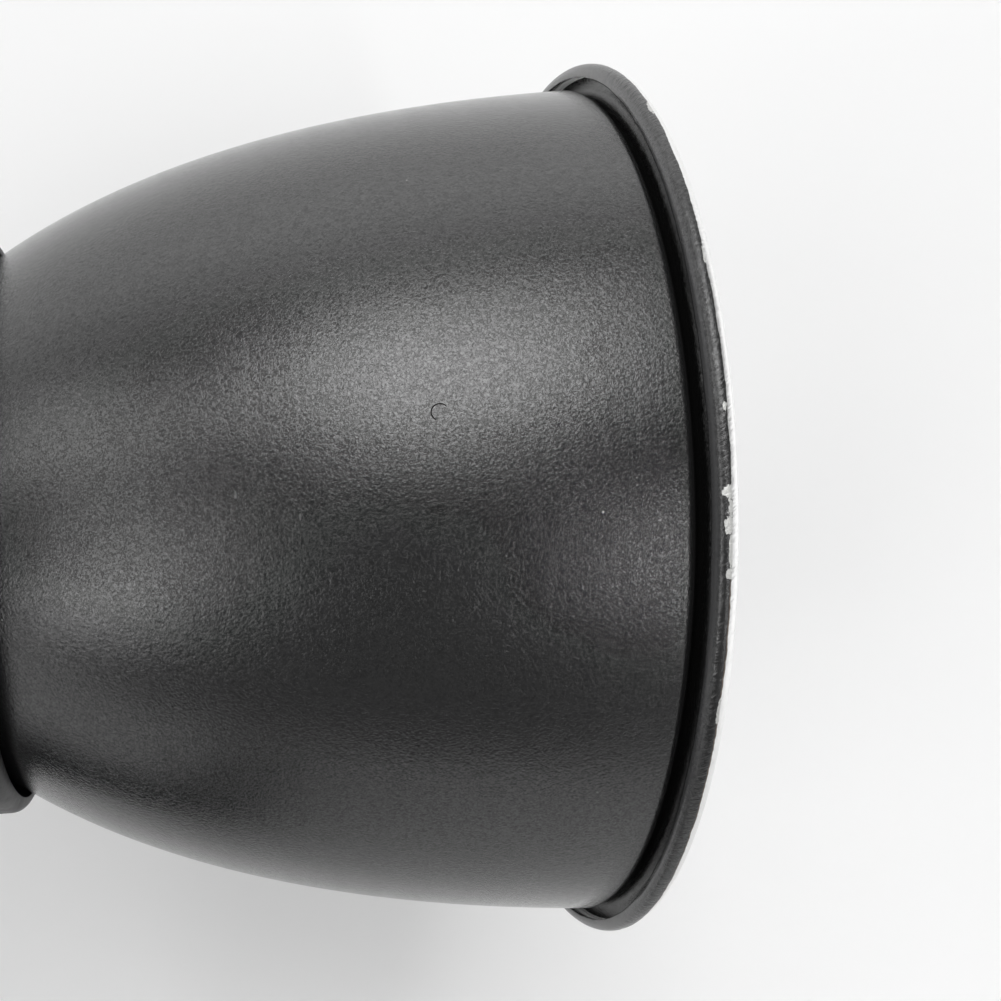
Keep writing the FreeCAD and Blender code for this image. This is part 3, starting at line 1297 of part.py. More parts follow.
NODES = {
    "reflector_bell": bell_front,
    "reflector_neck": bell_rear,
    "reflector_bayonet_ring": bayonet_ring,
    "bulb_glass": bulb_glass,
    "bulb_foil": bulb_foil,
    "bulb_base": bulb_base,
    "bulb_contact": bulb_contact,
    "socket_shell": socket_shell,
    "socket_insulator": socket_insulator,
    "socket_posts": socket_posts,
    "socket_screws": post_screws,
    "centre_contact": centre_contact,
    "contact_spring": contact_spring,
    "eject_rod": eject_rod,
    "eject_button": eject_button,
    "eject_spring": eject_spring,
    "housing_front": housing_front,
    "housing_trim_ring": housing_trim,
    "mounting_plate": mounting_plate,
    "housing_rear": housing_rear,
    "housing_screws": housing_screws,
    "dial_plate": dial_plate,
    "dial_disc": dial_disc,
    "dial_hub": dial_hub,
    "contact_board": contact_board,
    "capacitor": capacitor,
    "capacitor_clip": capacitor_clip,
    "board_resistor": board_resistor,
    "bus_wires": bus_wires,
    "switch_block": switch_block,
    "test_button": test_button,
    "test_spring": test_spring,
    "lamp_lens": lamp_lens,
    "lamp_bulb": lamp_bulb,
    "sync_block": sync_block,
    "sync_sleeves": sync_sleeves,
    "tilt_tongue": tilt_tongue,
    "tongue_screws": tongue_screws,
    "pivot_washers": pivot_washers,
    "yoke": yoke,
    "pivot_bolt": pivot_bolt,
    "tilt_knob": tilt_knob,
    "handle_tube": handle_tube,
    "grip_sleeve": grip,
    "grip_rings": grip_rings,
    "battery_cells": battery_cells,
    "top_contact": top_contact,
    "contact_insulator": contact_insulator,
    "release_button": release_button,
    "release_spring": release_spring,
    "end_cap": end_cap,
    "cap_seal": cap_seal,
    "battery_spring": battery_spring,
    "camera_bar": camera_bar,
    "camera_pad": camera_pad,
    "bar_screws": bar_screws,
    "bar_clamp": bar_clamp,
    "clamp_screw": clamp_screw,
    "screw_bush": screw_bush,
    "camera_screw": camera_screw,
}

for node_name, build in NODES.items():
    save(node_name, build())
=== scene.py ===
import math
import random

import bpy
from mathutils import Matrix, Vector, noise


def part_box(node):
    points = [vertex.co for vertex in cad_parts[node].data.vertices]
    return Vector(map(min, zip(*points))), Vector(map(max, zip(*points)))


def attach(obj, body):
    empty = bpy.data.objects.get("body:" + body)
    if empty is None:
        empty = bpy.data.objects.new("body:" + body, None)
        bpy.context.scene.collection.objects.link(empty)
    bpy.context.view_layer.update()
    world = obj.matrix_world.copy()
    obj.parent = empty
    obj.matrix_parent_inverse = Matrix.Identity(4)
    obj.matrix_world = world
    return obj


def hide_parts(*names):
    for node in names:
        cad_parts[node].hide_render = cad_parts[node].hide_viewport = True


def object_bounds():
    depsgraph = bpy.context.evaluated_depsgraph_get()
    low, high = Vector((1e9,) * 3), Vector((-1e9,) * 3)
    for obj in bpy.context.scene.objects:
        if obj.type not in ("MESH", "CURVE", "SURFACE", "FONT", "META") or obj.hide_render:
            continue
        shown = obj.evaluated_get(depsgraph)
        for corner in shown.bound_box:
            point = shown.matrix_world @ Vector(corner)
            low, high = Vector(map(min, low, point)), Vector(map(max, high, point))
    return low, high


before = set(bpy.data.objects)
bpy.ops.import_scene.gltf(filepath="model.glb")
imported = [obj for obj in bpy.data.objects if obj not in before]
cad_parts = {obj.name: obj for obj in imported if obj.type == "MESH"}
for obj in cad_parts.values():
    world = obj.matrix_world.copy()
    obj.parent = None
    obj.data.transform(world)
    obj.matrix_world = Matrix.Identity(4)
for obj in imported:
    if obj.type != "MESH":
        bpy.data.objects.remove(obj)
CAD_BOX = [list(corner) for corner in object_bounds()]
MM = 0.001


# ---------------------------------------------------------------- places read from the frame
def centre(node):
    low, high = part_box(node)
    return (low + high) / 2


def half(node, axis):
    low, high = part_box(node)
    return (high[axis] - low[axis]) / 2


AXIS_Y = centre("reflector_bell").y
AXIS_Z = centre("reflector_bell").z
RIM_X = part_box("reflector_bell")[1].x
RIM_R = half("reflector_bell", 1)
NECK_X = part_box("reflector_neck")[0].x

# the bell's section, in metres from the rim's front plane and the lamp axis
SHEET = 0.9 * MM
BEAD_R = 1.5 * MM
BEAD_WRAP = math.radians(190.0)
BELL_R = RIM_R - 2.15 * MM
BELL_LENGTH = 147.3 * MM
BELL_CENTRE = 39.0 * MM
BELL_POWER = 2.6
SHOULDER_U = -4.9 * MM
SHOULDER_R = 1.3 * MM
SHOULDER_TURN = math.radians(60.0)
NECK_R = 13.0 * MM
NECK_START_R = 15.0 * MM
BEAD_CENTRE = (-BEAD_R, RIM_R - BEAD_R)


# ---------------------------------------------------------------- shader helpers
LATHE_TURN = 0.0004                  # metres per radian: how little a turning line changes along itself


class Shader:
    """A node material with a Principled surface; the methods add nodes and return their output."""

    def __init__(self, name, color=(0.5, 0.5, 0.5), rough=0.5, metal=0.0, **fixed):
        self.mat = bpy.data.materials.new(name)
        self.mat.use_nodes = True
        self.tree = self.mat.node_tree
        self.bsdf = self.tree.nodes["Principled BSDF"]
        self.set("Base Color", (*color, 1.0))
        self.set("Roughness", rough)
        self.set("Metallic", metal)
        for key, value in fixed.items():
            self.set(key.replace("_", " "), value)
        self.height = None

    def set(self, socket, value):
        if isinstance(value, bpy.types.NodeSocket):
            self.tree.links.new(value, self.bsdf.inputs[socket])
        else:
            self.bsdf.inputs[socket].default_value = value

    def add(self, kind, **inputs):
        node = self.tree.nodes.new("ShaderNode" + kind)
        for key, value in inputs.items():
            if hasattr(node, key):
                setattr(node, key, value)
        return node

    def feed(self, socket, value):
        if isinstance(value, bpy.types.NodeSocket):
            self.tree.links.new(value, socket)
        else:
            socket.default_value = value

    def math(self, operation, a, b=0.0, c=0.0):
        node = self.add("Math", operation=operation)
        for socket, value in zip(node.inputs, (a, b, c)):
            self.feed(socket, value)
        return node.outputs[0]

    def vector(self, operation, a, b=(0, 0, 0)):
        node = self.add("VectorMath", operation=operation)
        self.feed(node.inputs[0], a)
        self.feed(node.inputs[1], b)
        return node.outputs["Value"] if operation in ("LENGTH", "DISTANCE") else node.outputs[0]

    def place(self):
        return self.add("TexCoord").outputs["Object"]

    def split(self, vector):
        node = self.add("SeparateXYZ")
        self.feed(node.inputs[0], vector)
        return node.outputs

    def join(self, x, y=0.0, z=0.0):
        node = self.add("CombineXYZ")
        for socket, value in zip(node.inputs, (x, y, z)):
            self.feed(socket, value)
        return node.outputs[0]

    def noise(self, scale, detail=2.0, rough=0.5, vector=None, distortion=0.0):
        node = self.add("TexNoise")
        self.feed(node.inputs["Vector"], vector or self.place())
        node.inputs["Scale"].default_value = scale
        node.inputs["Detail"].default_value = detail
        node.inputs["Roughness"].default_value = rough
        node.inputs["Distortion"].default_value = distortion
        return node.outputs[0]

    def cells(self, scale, feature="F1", output="Distance"):
        node = self.add("TexVoronoi", feature=feature)
        self.feed(node.inputs["Vector"], self.place())
        node.inputs["Scale"].default_value = scale
        return node.outputs[output]

    def ramp(self, value, low, high, out_low=0.0, out_high=1.0):
        """A smooth step from one value to another while the input crosses a span."""
        node = self.add("MapRange", interpolation_type="SMOOTHSTEP")
        for socket, number in zip(node.inputs, (value, low, high, out_low, out_high)):
            self.feed(socket, number)
        return node.outputs[0]

    def mix(self, share, a, b):
        node = self.add("Mix", data_type="RGBA")
        self.feed(node.inputs["Factor"], share)
        for socket, value in ((node.inputs[6], a), (node.inputs[7], b)):
            self.feed(socket, (*value, 1.0) if isinstance(value, tuple) and len(value) == 3 else value)
        return node.outputs[2]

    def bump(self, height, distance):
        """Adds a height in units of distance, on top of the bumps added before."""
        node = self.add("Bump")
        self.feed(node.inputs["Height"], height)
        node.inputs["Distance"].default_value = distance
        if self.height is not None:
            self.feed(node.inputs["Normal"], self.height)
        self.height = node.outputs[0]
        self.set("Normal", self.height)

    def lathe(self, axis, point):
        """Coordinates along and out from an axis, so that a noise of them gives turning lines."""
        offset = self.vector("SUBTRACT", self.place(), point)
        x, y, z = self.split(offset)
        along, a, b = {"X": (x, y, z), "Y": (y, x, z), "Z": (z, x, y)}[axis]
        out = self.math("SQRT", self.math("ADD", self.math("MULTIPLY", a, a), self.math("MULTIPLY", b, b)))
        turn = self.math("ARCTAN2", b, a)
        return self.join(along, out, self.math("MULTIPLY", turn, LATHE_TURN))


DUST_COLOR = (0.42, 0.40, 0.37)
DUST_CELLS = 900.0


def scaled(color, factor):
    return tuple(min(1.0, c * factor) for c in color)


def vary(s, color, rough, scale=90.0, amount=0.12, rough_amount=0.08, dust=0.0):
    """Slow changes of tone and gloss, with optional specks of dust."""
    slow = s.noise(scale, 4.0, 0.6)
    tone = s.mix(slow, scaled(color, 1.0 - amount), scaled(color, 1.0 + amount))
    if dust:
        speck = s.ramp(s.cells(DUST_CELLS), 0.11, 0.05)
        chosen = s.ramp(s.cells(DUST_CELLS, output="Color"), 1.0 - dust, 1.0 - dust * 0.6)
        tone = s.mix(s.math("MULTIPLY", speck, chosen), tone, DUST_COLOR)
    s.set("Base Color", tone)
    patches = s.noise(scale * 2.3, 5.0, 0.65)
    s.set("Roughness", s.ramp(patches, 0.3, 0.7, rough - rough_amount, rough + rough_amount))


# ---------------------------------------------------------------- materials
# zones near the rim, as spans that a ramp crosses: along the bell from the rim's plane, out from the lamp
# axis, and round the bead's own section, where 0 points straight out and 90 degrees straight forward
GROOVE_STARTS = (-4.3 * MM, -3.6 * MM)
BEAD_STARTS = (-3.6 * MM, -3.1 * MM)
BEAD_FROM_R = (BEAD_CENTRE[1] - 0.15 * MM, BEAD_CENTRE[1])
CRUMPLED_FROM = (math.radians(-60.0), math.radians(-36.0))
PRIMER_FROM = (math.radians(1.5), math.radians(5.0))
LIP_FROM = (math.radians(7.0), math.radians(10.0))
LOWER_RIM = (-2.0 * MM, -6.0 * MM)

# heights of the relief
GRAIN_HEIGHT = 38e-6
FOLD_HEIGHT = 0.14 * MM
SPINNING_HEIGHT = 0.06 * MM

# colours of the paint and of what shows where it has worn or flaked; two are painted light: a lighter grey
# painted as sheen on the bead's smooth rear band, and a darker black painted as shade in the groove
PAINT = ((0.0080, 0.0080, 0.0084), (0.0125, 0.0125, 0.0126))
SPECK_COLOR = (0.34, 0.34, 0.33)
HAIR_COLOR = (0.0006, 0.0006, 0.0006)
SCUFF_COLOR = (0.16, 0.16, 0.16)
SATIN_PAINTED_SHEEN = (0.034, 0.034, 0.035)
GROOVE_PAINTED_SHADE = (0.0056, 0.0056, 0.0056)
PRIMER_COLOR = (0.115, 0.080, 0.058)
FRESH_METAL = ((0.80, 0.80, 0.80), (0.95, 0.95, 0.94))
WORN_METAL = ((0.42, 0.42, 0.41), (0.78, 0.78, 0.76))

# a curled hair: where its ring's middle is along the bell and round it in radians, the radius there, the
# ring's own radius, half its width with and without the soft edge, and which part of the ring is missing
HAIR_U, HAIR_TURN, HAIR_BELL_R = -31.36 * MM, 2.8812, 58.07 * MM
HAIR_CURL = 0.95 * MM
HAIR_HALF = (0.085 * MM, 0.045 * MM)
HAIR_OPENS = (-0.760, -0.649)
HAIR_GAP = -0.148 * HAIR_CURL

# light scuffs: along the bell, round it in radians, the radius there; then half of a scuff's size
SCUFFS = ((-53.8 * MM, 3.019, 52.5 * MM), (-46.9 * MM, 3.070, 54.6 * MM), (-38.0 * MM, 0.9, 56.8 * MM))
SCUFF_HALF = (0.16 * MM, 0.55 * MM)

# flaked places on the bead: degrees round the lamp axis, degrees round the bead, half of each size
CHIP_RAGGED = 2.2
CHIPS = (
    (166.7, -2.0, 0.42, 10.0), (175.0, -3.0, 0.60, 27.0), (176.4, 2.0, 0.85, 11.0), (178.1, -5.0, 0.95, 20.0),
    (180.8, 4.0, 1.7, 9.0), (182.8, -2.0, 0.50, 14.0), (-163.0, 4.0, 1.5, 8.0), (151.0, 6.0, 0.9, 8.0),
    (128.0, 5.0, 1.2, 12.0), (62.0, -2.0, 0.8, 19.0), (35.0, 3.0, 1.3, 13.0), (-22.0, 0.0, 0.7, 22.0),
    (-60.0, 2.0, 1.6, 15.0), (-118.0, 4.0, 1.1, 13.0),
)


def enamel_and_bare():
    """The bell: black textured enamel, with bare aluminium past the paint's chipped edge on the bead."""
    s = Shader("bell_enamel")
    x, y, z = s.split(s.place())
    u = s.math("SUBTRACT", x, RIM_X)
    dy = s.math("SUBTRACT", y, AXIS_Y)
    dz = s.math("SUBTRACT", z, AXIS_Z)
    r = s.math("SQRT", s.math("ADD", s.math("MULTIPLY", dy, dy), s.math("MULTIPLY", dz, dz)))
    turn = s.math("ARCTAN2", dz, dy)
    phi = s.math("ARCTAN2", s.math("SUBTRACT", u, BEAD_CENTRE[0]), s.math("SUBTRACT", r, BEAD_CENTRE[1]))
    on_bead = s.math("MULTIPLY", s.ramp(u, *BEAD_STARTS), s.ramp(r, *BEAD_FROM_R))
    in_groove = s.math("MULTIPLY", s.ramp(u, *GROOVE_STARTS), s.math("SUBTRACT", 1.0, on_bead))
    crumpled = s.math("MULTIPLY", on_bead, s.ramp(phi, *CRUMPLED_FROM))

    # enamel's grain: small worm-like wrinkles; the bead's outer face is crumpled across instead
    grain = s.noise(2500.0, 3.0, 0.6, distortion=1.6)
    pebble = s.cells(2600.0, "SMOOTH_F1")
    depth = s.ramp(on_bead, 0.0, 1.0, 1.0, 0.35)
    s.bump(s.math("MULTIPLY", s.math("ADD", grain, s.math("MULTIPLY", pebble, 0.6)), depth), GRAIN_HEIGHT)
    slant = s.join(s.math("ADD", s.math("MULTIPLY", turn, 95.0), s.math("MULTIPLY", phi, 1.1)),
                   s.math("MULTIPLY", phi, 0.8))
    folds = s.noise(1.0, 3.0, 0.6, vector=slant, distortion=0.6)
    s.bump(s.math("MULTIPLY", folds, crumpled), FOLD_HEIGHT)
    # spinning marks: low waves along the bell, the same all the way round
    spun = s.noise(1.0, 3.0, 0.6, vector=s.join(s.math("MULTIPLY", u, 230.0), s.math("MULTIPLY", turn, 0.35)))
    s.bump(spun, SPINNING_HEIGHT)

    slow = s.noise(45.0, 4.0, 0.6)
    paint = s.mix(slow, *PAINT)
    speck = s.ramp(s.cells(520.0), 0.075, 0.03)
    chosen = s.ramp(s.cells(520.0, output="Color"), 0.90, 0.93)
    paint = s.mix(s.math("MULTIPLY", s.math("MULTIPLY", speck, chosen), 0.6), paint, SPECK_COLOR)
    # a short curled hair caught in the enamel, and three light scuffs
    curl_u = s.math("SUBTRACT", u, HAIR_U)
    curl_v = s.math("MULTIPLY", s.math("SUBTRACT", turn, HAIR_TURN), HAIR_BELL_R)
    from_middle = s.vector("LENGTH", s.join(curl_u, curl_v))
    facing = s.math("ADD", s.math("MULTIPLY", curl_u, HAIR_OPENS[0]),
                    s.math("MULTIPLY", curl_v, HAIR_OPENS[1]))
    hair = s.ramp(s.math("ABSOLUTE", s.math("SUBTRACT", from_middle, HAIR_CURL)), *HAIR_HALF)
    hair = s.math("MULTIPLY", hair, s.math("GREATER_THAN", facing, HAIR_GAP))
    paint = s.mix(hair, paint, HAIR_COLOR)
    for scuff_u, scuff_turn, radius in SCUFFS:
        mark_u = s.math("DIVIDE", s.math("SUBTRACT", u, scuff_u), SCUFF_HALF[0])
        mark_v = s.math("MULTIPLY", s.math("SUBTRACT", turn, scuff_turn), radius)
        mark_v = s.math("DIVIDE", mark_v, SCUFF_HALF[1])
        mark = s.ramp(s.vector("LENGTH", s.join(mark_u, mark_v)), 1.0, 0.5, 0.0, 0.55)
        paint = s.mix(s.math("MULTIPLY", mark, grain), paint, SCUFF_COLOR)
    # painted sheen: the bead's smooth rear band is painted a lighter grey that stands in for the light it
    # reflects
    painted_sheen_band = s.math("SUBTRACT", on_bead, crumpled)
    paint = s.mix(painted_sheen_band, paint, SATIN_PAINTED_SHEEN)
    # painted shade: the groove between the bell and the bead is painted darker than the enamel
    paint = s.mix(in_groove, paint, GROOVE_PAINTED_SHADE)
    rough = s.ramp(s.noise(1.0, 4.0, 0.6, vector=s.join(s.math("MULTIPLY", u, 310.0), turn)),
                   0.3, 0.7, 0.10, 0.15)
    rough = s.math("ADD", rough, s.math("MULTIPLY", on_bead, 0.14))

    # bare metal: the lip past the paint's edge, and the places where the paint has flaked off it
    loose = s.math("SUBTRACT", s.noise(1500.0, 4.0, 0.65), 0.5)
    elsewhere = s.vector("ADD", s.place(), (0.3, 0.1, 0.2))
    loose_too = s.math("SUBTRACT", s.noise(1100.0, 4.0, 0.65, vector=elsewhere), 0.5)
    edge = s.math("ADD", phi, s.math("MULTIPLY", s.math("SUBTRACT", s.noise(260.0, 3.0, 0.6), 0.5), 0.30))
    edge = s.math("ADD", edge, s.math("MULTIPLY", loose, 0.16))
    lip = s.ramp(edge, *LIP_FROM)
    flaked = lip
    for chip_turn, chip_phi, half_turn, half_phi in CHIPS:
        away = s.math("WRAP", s.math("SUBTRACT", turn, math.radians(chip_turn)), math.pi, -math.pi)
        across = s.math("DIVIDE", away, math.radians(half_turn))
        across = s.math("ADD", across, s.math("MULTIPLY", loose, CHIP_RAGGED))
        over = s.math("DIVIDE", s.math("SUBTRACT", phi, math.radians(chip_phi)), math.radians(half_phi))
        over = s.math("ADD", over, s.math("MULTIPLY", loose_too, CHIP_RAGGED))
        reach = s.math("ADD", s.math("MULTIPLY", across, across), s.math("MULTIPLY", over, over))
        flaked = s.math("MAXIMUM", flaked, s.ramp(reach, 1.1, 0.85))
    bare = s.math("MULTIPLY", flaked, s.math("GREATER_THAN", on_bead, 0.5))
    on_lower_bead = s.math("MULTIPLY", on_bead, s.ramp(dz, *LOWER_RIM))
    primer = s.math("MULTIPLY", s.ramp(edge, *PRIMER_FROM), on_lower_bead)
    paint = s.mix(s.math("MULTIPLY", primer, 0.75), paint, PRIMER_COLOR)

    turning = s.join(s.math("MULTIPLY", r, 9000.0), s.math("MULTIPLY", turn, 3.0))
    fresh = s.mix(s.noise(1.0, 4.0, 0.7, vector=turning), *FRESH_METAL)
    worn = s.mix(s.noise(3200.0, 3.0), *WORN_METAL)
    s.set("Base Color", s.mix(bare, paint, s.mix(lip, worn, fresh)))
    bare_rough = s.ramp(lip, 0.0, 1.0, 0.52, 0.30)
    s.set("Roughness", s.math("ADD", s.math("MULTIPLY", rough, s.math("SUBTRACT", 1.0, bare)),
                              s.math("MULTIPLY", bare, bare_rough)))
    s.set("Metallic", bare)
    # painted shade as well: the groove is made to reflect less than the enamel
    shine = s.math("MULTIPLY", s.ramp(in_groove, 0.0, 1.0, 0.84, 0.34), s.math("SUBTRACT", 1.0, hair))
    s.set("Specular IOR Level", s.math("MULTIPLY", shine, s.ramp(grain, 0.36, 0.60, 0.62, 1.18)))
    return s.mat


def spun_inside():
    """Bright spun aluminium: fine turning lines, slightly clouded."""
    s = Shader("bell_inside", (0.9, 0.9, 0.9), 0.14, 1.0)
    lines = s.lathe("X", (RIM_X, AXIS_Y, AXIS_Z))
    fine = s.noise(5200.0, 3.0, 0.7, vector=lines)
    s.set("Base Color", s.mix(s.noise(60.0, 3.0), (0.84, 0.84, 0.84), (0.93, 0.93, 0.92)))
    s.set("Roughness", s.ramp(fine, 0.3, 0.7, 0.10, 0.24))
    s.bump(fine, 2.0e-6)
    s.bump(s.noise(420.0, 2.0, 0.5, vector=lines), 22e-6)
    return s.mat


def turned(name, color, rough, axis, point, line_scale=4200.0, depth=1.6e-6):
    """Lathe-turned metal: rings round its own axis, small scratches, clouded tone."""
    s = Shader(name, color, rough, 1.0)
    lines = s.lathe(axis, point)
    fine = s.noise(line_scale, 3.0, 0.7, vector=lines)
    scratch = s.ramp(s.noise(700.0, 3.0, 0.8, distortion=2.5), 0.62, 0.68)
    tone = s.mix(s.noise(120.0, 4.0, 0.6), scaled(color, 0.86), scaled(color, 1.06))
    s.set("Base Color", s.mix(s.math("MULTIPLY", scratch, 0.25), tone, scaled(color, 0.5)))
    s.set("Roughness", s.math("ADD", s.ramp(fine, 0.3, 0.7, rough * 0.75, rough * 1.3),
                              s.math("MULTIPLY", scratch, 0.10)))
    s.bump(fine, depth)
    return s.mat


def metal(name, color, rough, grain=1500.0, depth=1.5e-6, tarnish=None):
    """Plain plated or wire metal with a faint grain and patches of tarnish."""
    s = Shader(name, color, rough, 1.0)
    tone = s.mix(s.noise(160.0, 4.0, 0.6), scaled(color, 0.85), scaled(color, 1.05))
    if tarnish:
        tone = s.mix(s.ramp(s.noise(260.0, 5.0, 0.7), 0.52, 0.66, 0.0, 0.8), tone, tarnish)
    s.set("Base Color", tone)
    s.set("Roughness", s.ramp(s.noise(grain * 0.4, 4.0, 0.7), 0.3, 0.7, rough * 0.75, rough * 1.35))
    s.bump(s.noise(grain, 3.0, 0.6), depth)
    return s.mat


def moulded(name, color, rough, grain=2600.0, depth=9e-6):
    """Moulded plastic, lacquer or casting skin with a fine even texture."""
    s = Shader(name, color, rough)
    vary(s, color, rough, dust=0.02)
    s.bump(s.noise(grain, 2.0, 0.5), depth)
    s.bump(s.noise(140.0, 2.0, 0.5), 20e-6)
    return s.mat


def rubber():
    """Dusty black rubber."""
    s = Shader("grip_rubber", (0.02, 0.02, 0.02), 0.62)
    vary(s, (0.020, 0.020, 0.0205), 0.62, 70.0, 0.22, 0.07, dust=0.07)
    s.bump(s.noise(1700.0, 4.0, 0.6), 22e-6)
    return s.mat


def phenolic():
    """Marbled brown phenolic."""
    s = Shader("phenolic", (0.19, 0.08, 0.04), 0.38)
    marble = s.noise(210.0, 6.0, 0.62, distortion=1.6)
    s.set("Base Color", s.mix(marble, (0.085, 0.032, 0.015), (0.235, 0.105, 0.050)))
    s.set("Roughness", s.ramp(s.noise(500.0, 4.0, 0.6), 0.3, 0.7, 0.30, 0.46))
    s.bump(s.noise(1500.0, 3.0, 0.6), 6e-6)
    return s.mat


def clear_glass():
    """Faintly blue lacquered glass."""
    s = Shader("bulb_glass", (0.86, 0.92, 1.0), 0.03, Transmission_Weight=1.0, IOR=1.45)
    s.set("Base Color", s.mix(s.noise(90.0, 3.0), (0.80, 0.88, 0.98), (0.92, 0.96, 1.0)))
    s.set("Roughness", s.ramp(s.noise(300.0, 4.0, 0.6), 0.35, 0.75, 0.02, 0.08))
    s.bump(s.noise(120.0, 2.0, 0.5), 25e-6)
    return s.mat


def crumpled_foil():
    """Shredded bright foil."""
    s = Shader("bulb_foil", (0.9, 0.9, 0.92), 0.22, 1.0)
    s.set("Base Color", s.mix(s.noise(500.0, 3.0), (0.74, 0.75, 0.78), (0.95, 0.95, 0.97)))
    s.set("Roughness", s.ramp(s.noise(900.0, 3.0), 0.3, 0.7, 0.14, 0.34))
    s.bump(s.cells(900.0, "DISTANCE_TO_EDGE"), 0.12 * MM)
    return s.mat


def red_plastic():
    """The test lamp's red lens."""
    s = Shader("red_lens", (0.62, 0.02, 0.012), 0.12, Transmission_Weight=0.35)
    vary(s, (0.62, 0.02, 0.012), 0.14, 120.0, 0.15, 0.05)
    s.bump(s.cells(1300.0), 16e-6)
    return s.mat


def jacket():
    """The cells' plain grey jacket."""
    s = Shader("cell_jacket", (0.15, 0.16, 0.18), 0.42)
    vary(s, (0.15, 0.16, 0.18), 0.42, 60.0, 0.10, 0.06)
    s.bump(s.noise(900.0, 3.0, 0.5), 8e-6)
    return s.mat


FLOOR_FADES = 0.07                   # height over which the floor's painted shade turns into the wall's tone


def backdrop():
    """Pale paper, with painted shade that makes the floor darker than the wall, and clear when it is seen
    from behind.
    """
    s = Shader("backdrop_paper", (0.9, 0.9, 0.9), 0.9)
    wall = s.mix(s.noise(6.0, 3.0), (0.950, 0.950, 0.950), (0.960, 0.960, 0.960))
    # painted shade: the floor is the same paper as the wall, painted darker
    floor = s.mix(s.noise(9.0, 3.0), (0.700, 0.700, 0.700), (0.712, 0.712, 0.712))
    z = s.split(s.place())[2]
    foot = CAD_BOX[0][2]
    s.set("Base Color", s.mix(s.ramp(z, foot, foot + FLOOR_FADES), floor, wall))
    s.set("Specular IOR Level", 0.0)
    back = s.add("NewGeometry").outputs["Backfacing"]
    clear = s.add("BsdfTransparent").outputs[0]
    either = s.add("MixShader")
    s.feed(either.inputs[0], back)
    s.tree.links.new(s.bsdf.outputs[0], either.inputs[1])
    s.tree.links.new(clear, either.inputs[2])
    s.tree.links.new(either.outputs[0], s.tree.nodes["Material Output"].inputs["Surface"])
    return s.mat


HEAD_AXIS = (0.0, AXIS_Y, AXIS_Z)
HANDLE_AXIS = (0.0, AXIS_Y, 0.0)
PIVOT = centre("tilt_knob")

bell_coat = enamel_and_bare()
bell_inner = spun_inside()
black_moulding = moulded("black_moulding", (0.0165, 0.0168, 0.0172), 0.34)
satin_black = moulded("cast_black", (0.017, 0.017, 0.0175), 0.46, 1900.0, 22e-6)
anodised = turned("anodised_black", (0.035, 0.035, 0.037), 0.36, "Z", HANDLE_AXIS, 3600.0, 2.5e-6)
bright_x = turned("bright_aluminium", (0.82, 0.82, 0.83), 0.22, "X", HEAD_AXIS)
bright_z = turned("bright_ring", (0.82, 0.82, 0.83), 0.22, "Z", HANDLE_AXIS)
plate_metal = turned("satin_aluminium", (0.66, 0.66, 0.67), 0.38, "X", HEAD_AXIS, 2600.0, 3e-6)
chrome_y = turned("chrome_knob", (0.80, 0.80, 0.81), 0.16, "Y", tuple(PIVOT))
chrome_z = turned("chrome_screw", (0.80, 0.80, 0.81), 0.18, "Z", (0.0, 0.0, 0.0))
nickel = metal("nickel_steel", (0.66, 0.65, 0.62), 0.28)
brass = metal("brass", (0.76, 0.56, 0.26), 0.30, tarnish=(0.30, 0.19, 0.08))
spring_wire = metal("spring_steel", (0.52, 0.52, 0.52), 0.30)
can_metal = metal("capacitor_can", (0.72, 0.72, 0.73), 0.34)
brown = phenolic()
black_rubber = rubber()
glass = clear_glass()
foil = crumpled_foil()
red = red_plastic()
grey_jacket = jacket()
dial_white = moulded("dial_print", (0.72, 0.72, 0.70), 0.5, 2600.0, 2e-6)
dial_black = turned("dial_face", (0.022, 0.022, 0.023), 0.40, "X", HEAD_AXIS, 3000.0, 2e-6)

NODE_MATERIALS = {
    "housing_front": satin_black, "housing_rear": satin_black,
    "test_button": black_moulding, "release_button": black_moulding, "sync_block": black_moulding,
    "eject_button": bright_x, "housing_trim_ring": bright_x, "dial_hub": bright_x, "grip_rings": bright_z,
    "mounting_plate": plate_metal, "capacitor": can_metal,
    "tilt_knob": chrome_y, "pivot_bolt": chrome_y, "camera_screw": chrome_z,
    "housing_screws": nickel, "socket_screws": nickel, "tongue_screws": nickel, "bar_screws": nickel,
    "clamp_screw": nickel, "capacitor_clip": nickel, "socket_posts": nickel,
    "reflector_bayonet_ring": brass, "bulb_base": brass, "bulb_contact": brass, "socket_shell": brass,
    "centre_contact": brass, "sync_sleeves": brass, "top_contact": brass, "screw_bush": brass,
    "pivot_washers": brass, "bus_wires": brass,
    "socket_insulator": brown, "contact_board": brown, "switch_block": brown, "contact_insulator": brown,
    "board_resistor": brown, "eject_rod": brown,
    "grip_sleeve": black_rubber, "camera_pad": black_rubber, "cap_seal": black_rubber,
    "bulb_glass": glass, "lamp_bulb": glass, "bulb_foil": foil, "lamp_lens": red,
    "battery_cells": grey_jacket,
    "eject_spring": spring_wire, "contact_spring": spring_wire, "test_spring": spring_wire,
    "release_spring": spring_wire, "battery_spring": spring_wire,
    "dial_plate": dial_black, "dial_disc": dial_black,
    "handle_tube": anodised, "end_cap": anodised, "camera_bar": satin_black,
    "yoke": satin_black, "tilt_tongue": satin_black, "bar_clamp": satin_black,
    "reflector_bell": bell_coat, "reflector_neck": bell_coat,
}
for name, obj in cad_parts.items():
    obj.data.materials.clear()
    obj.data.materials.append(NODE_MATERIALS[name])


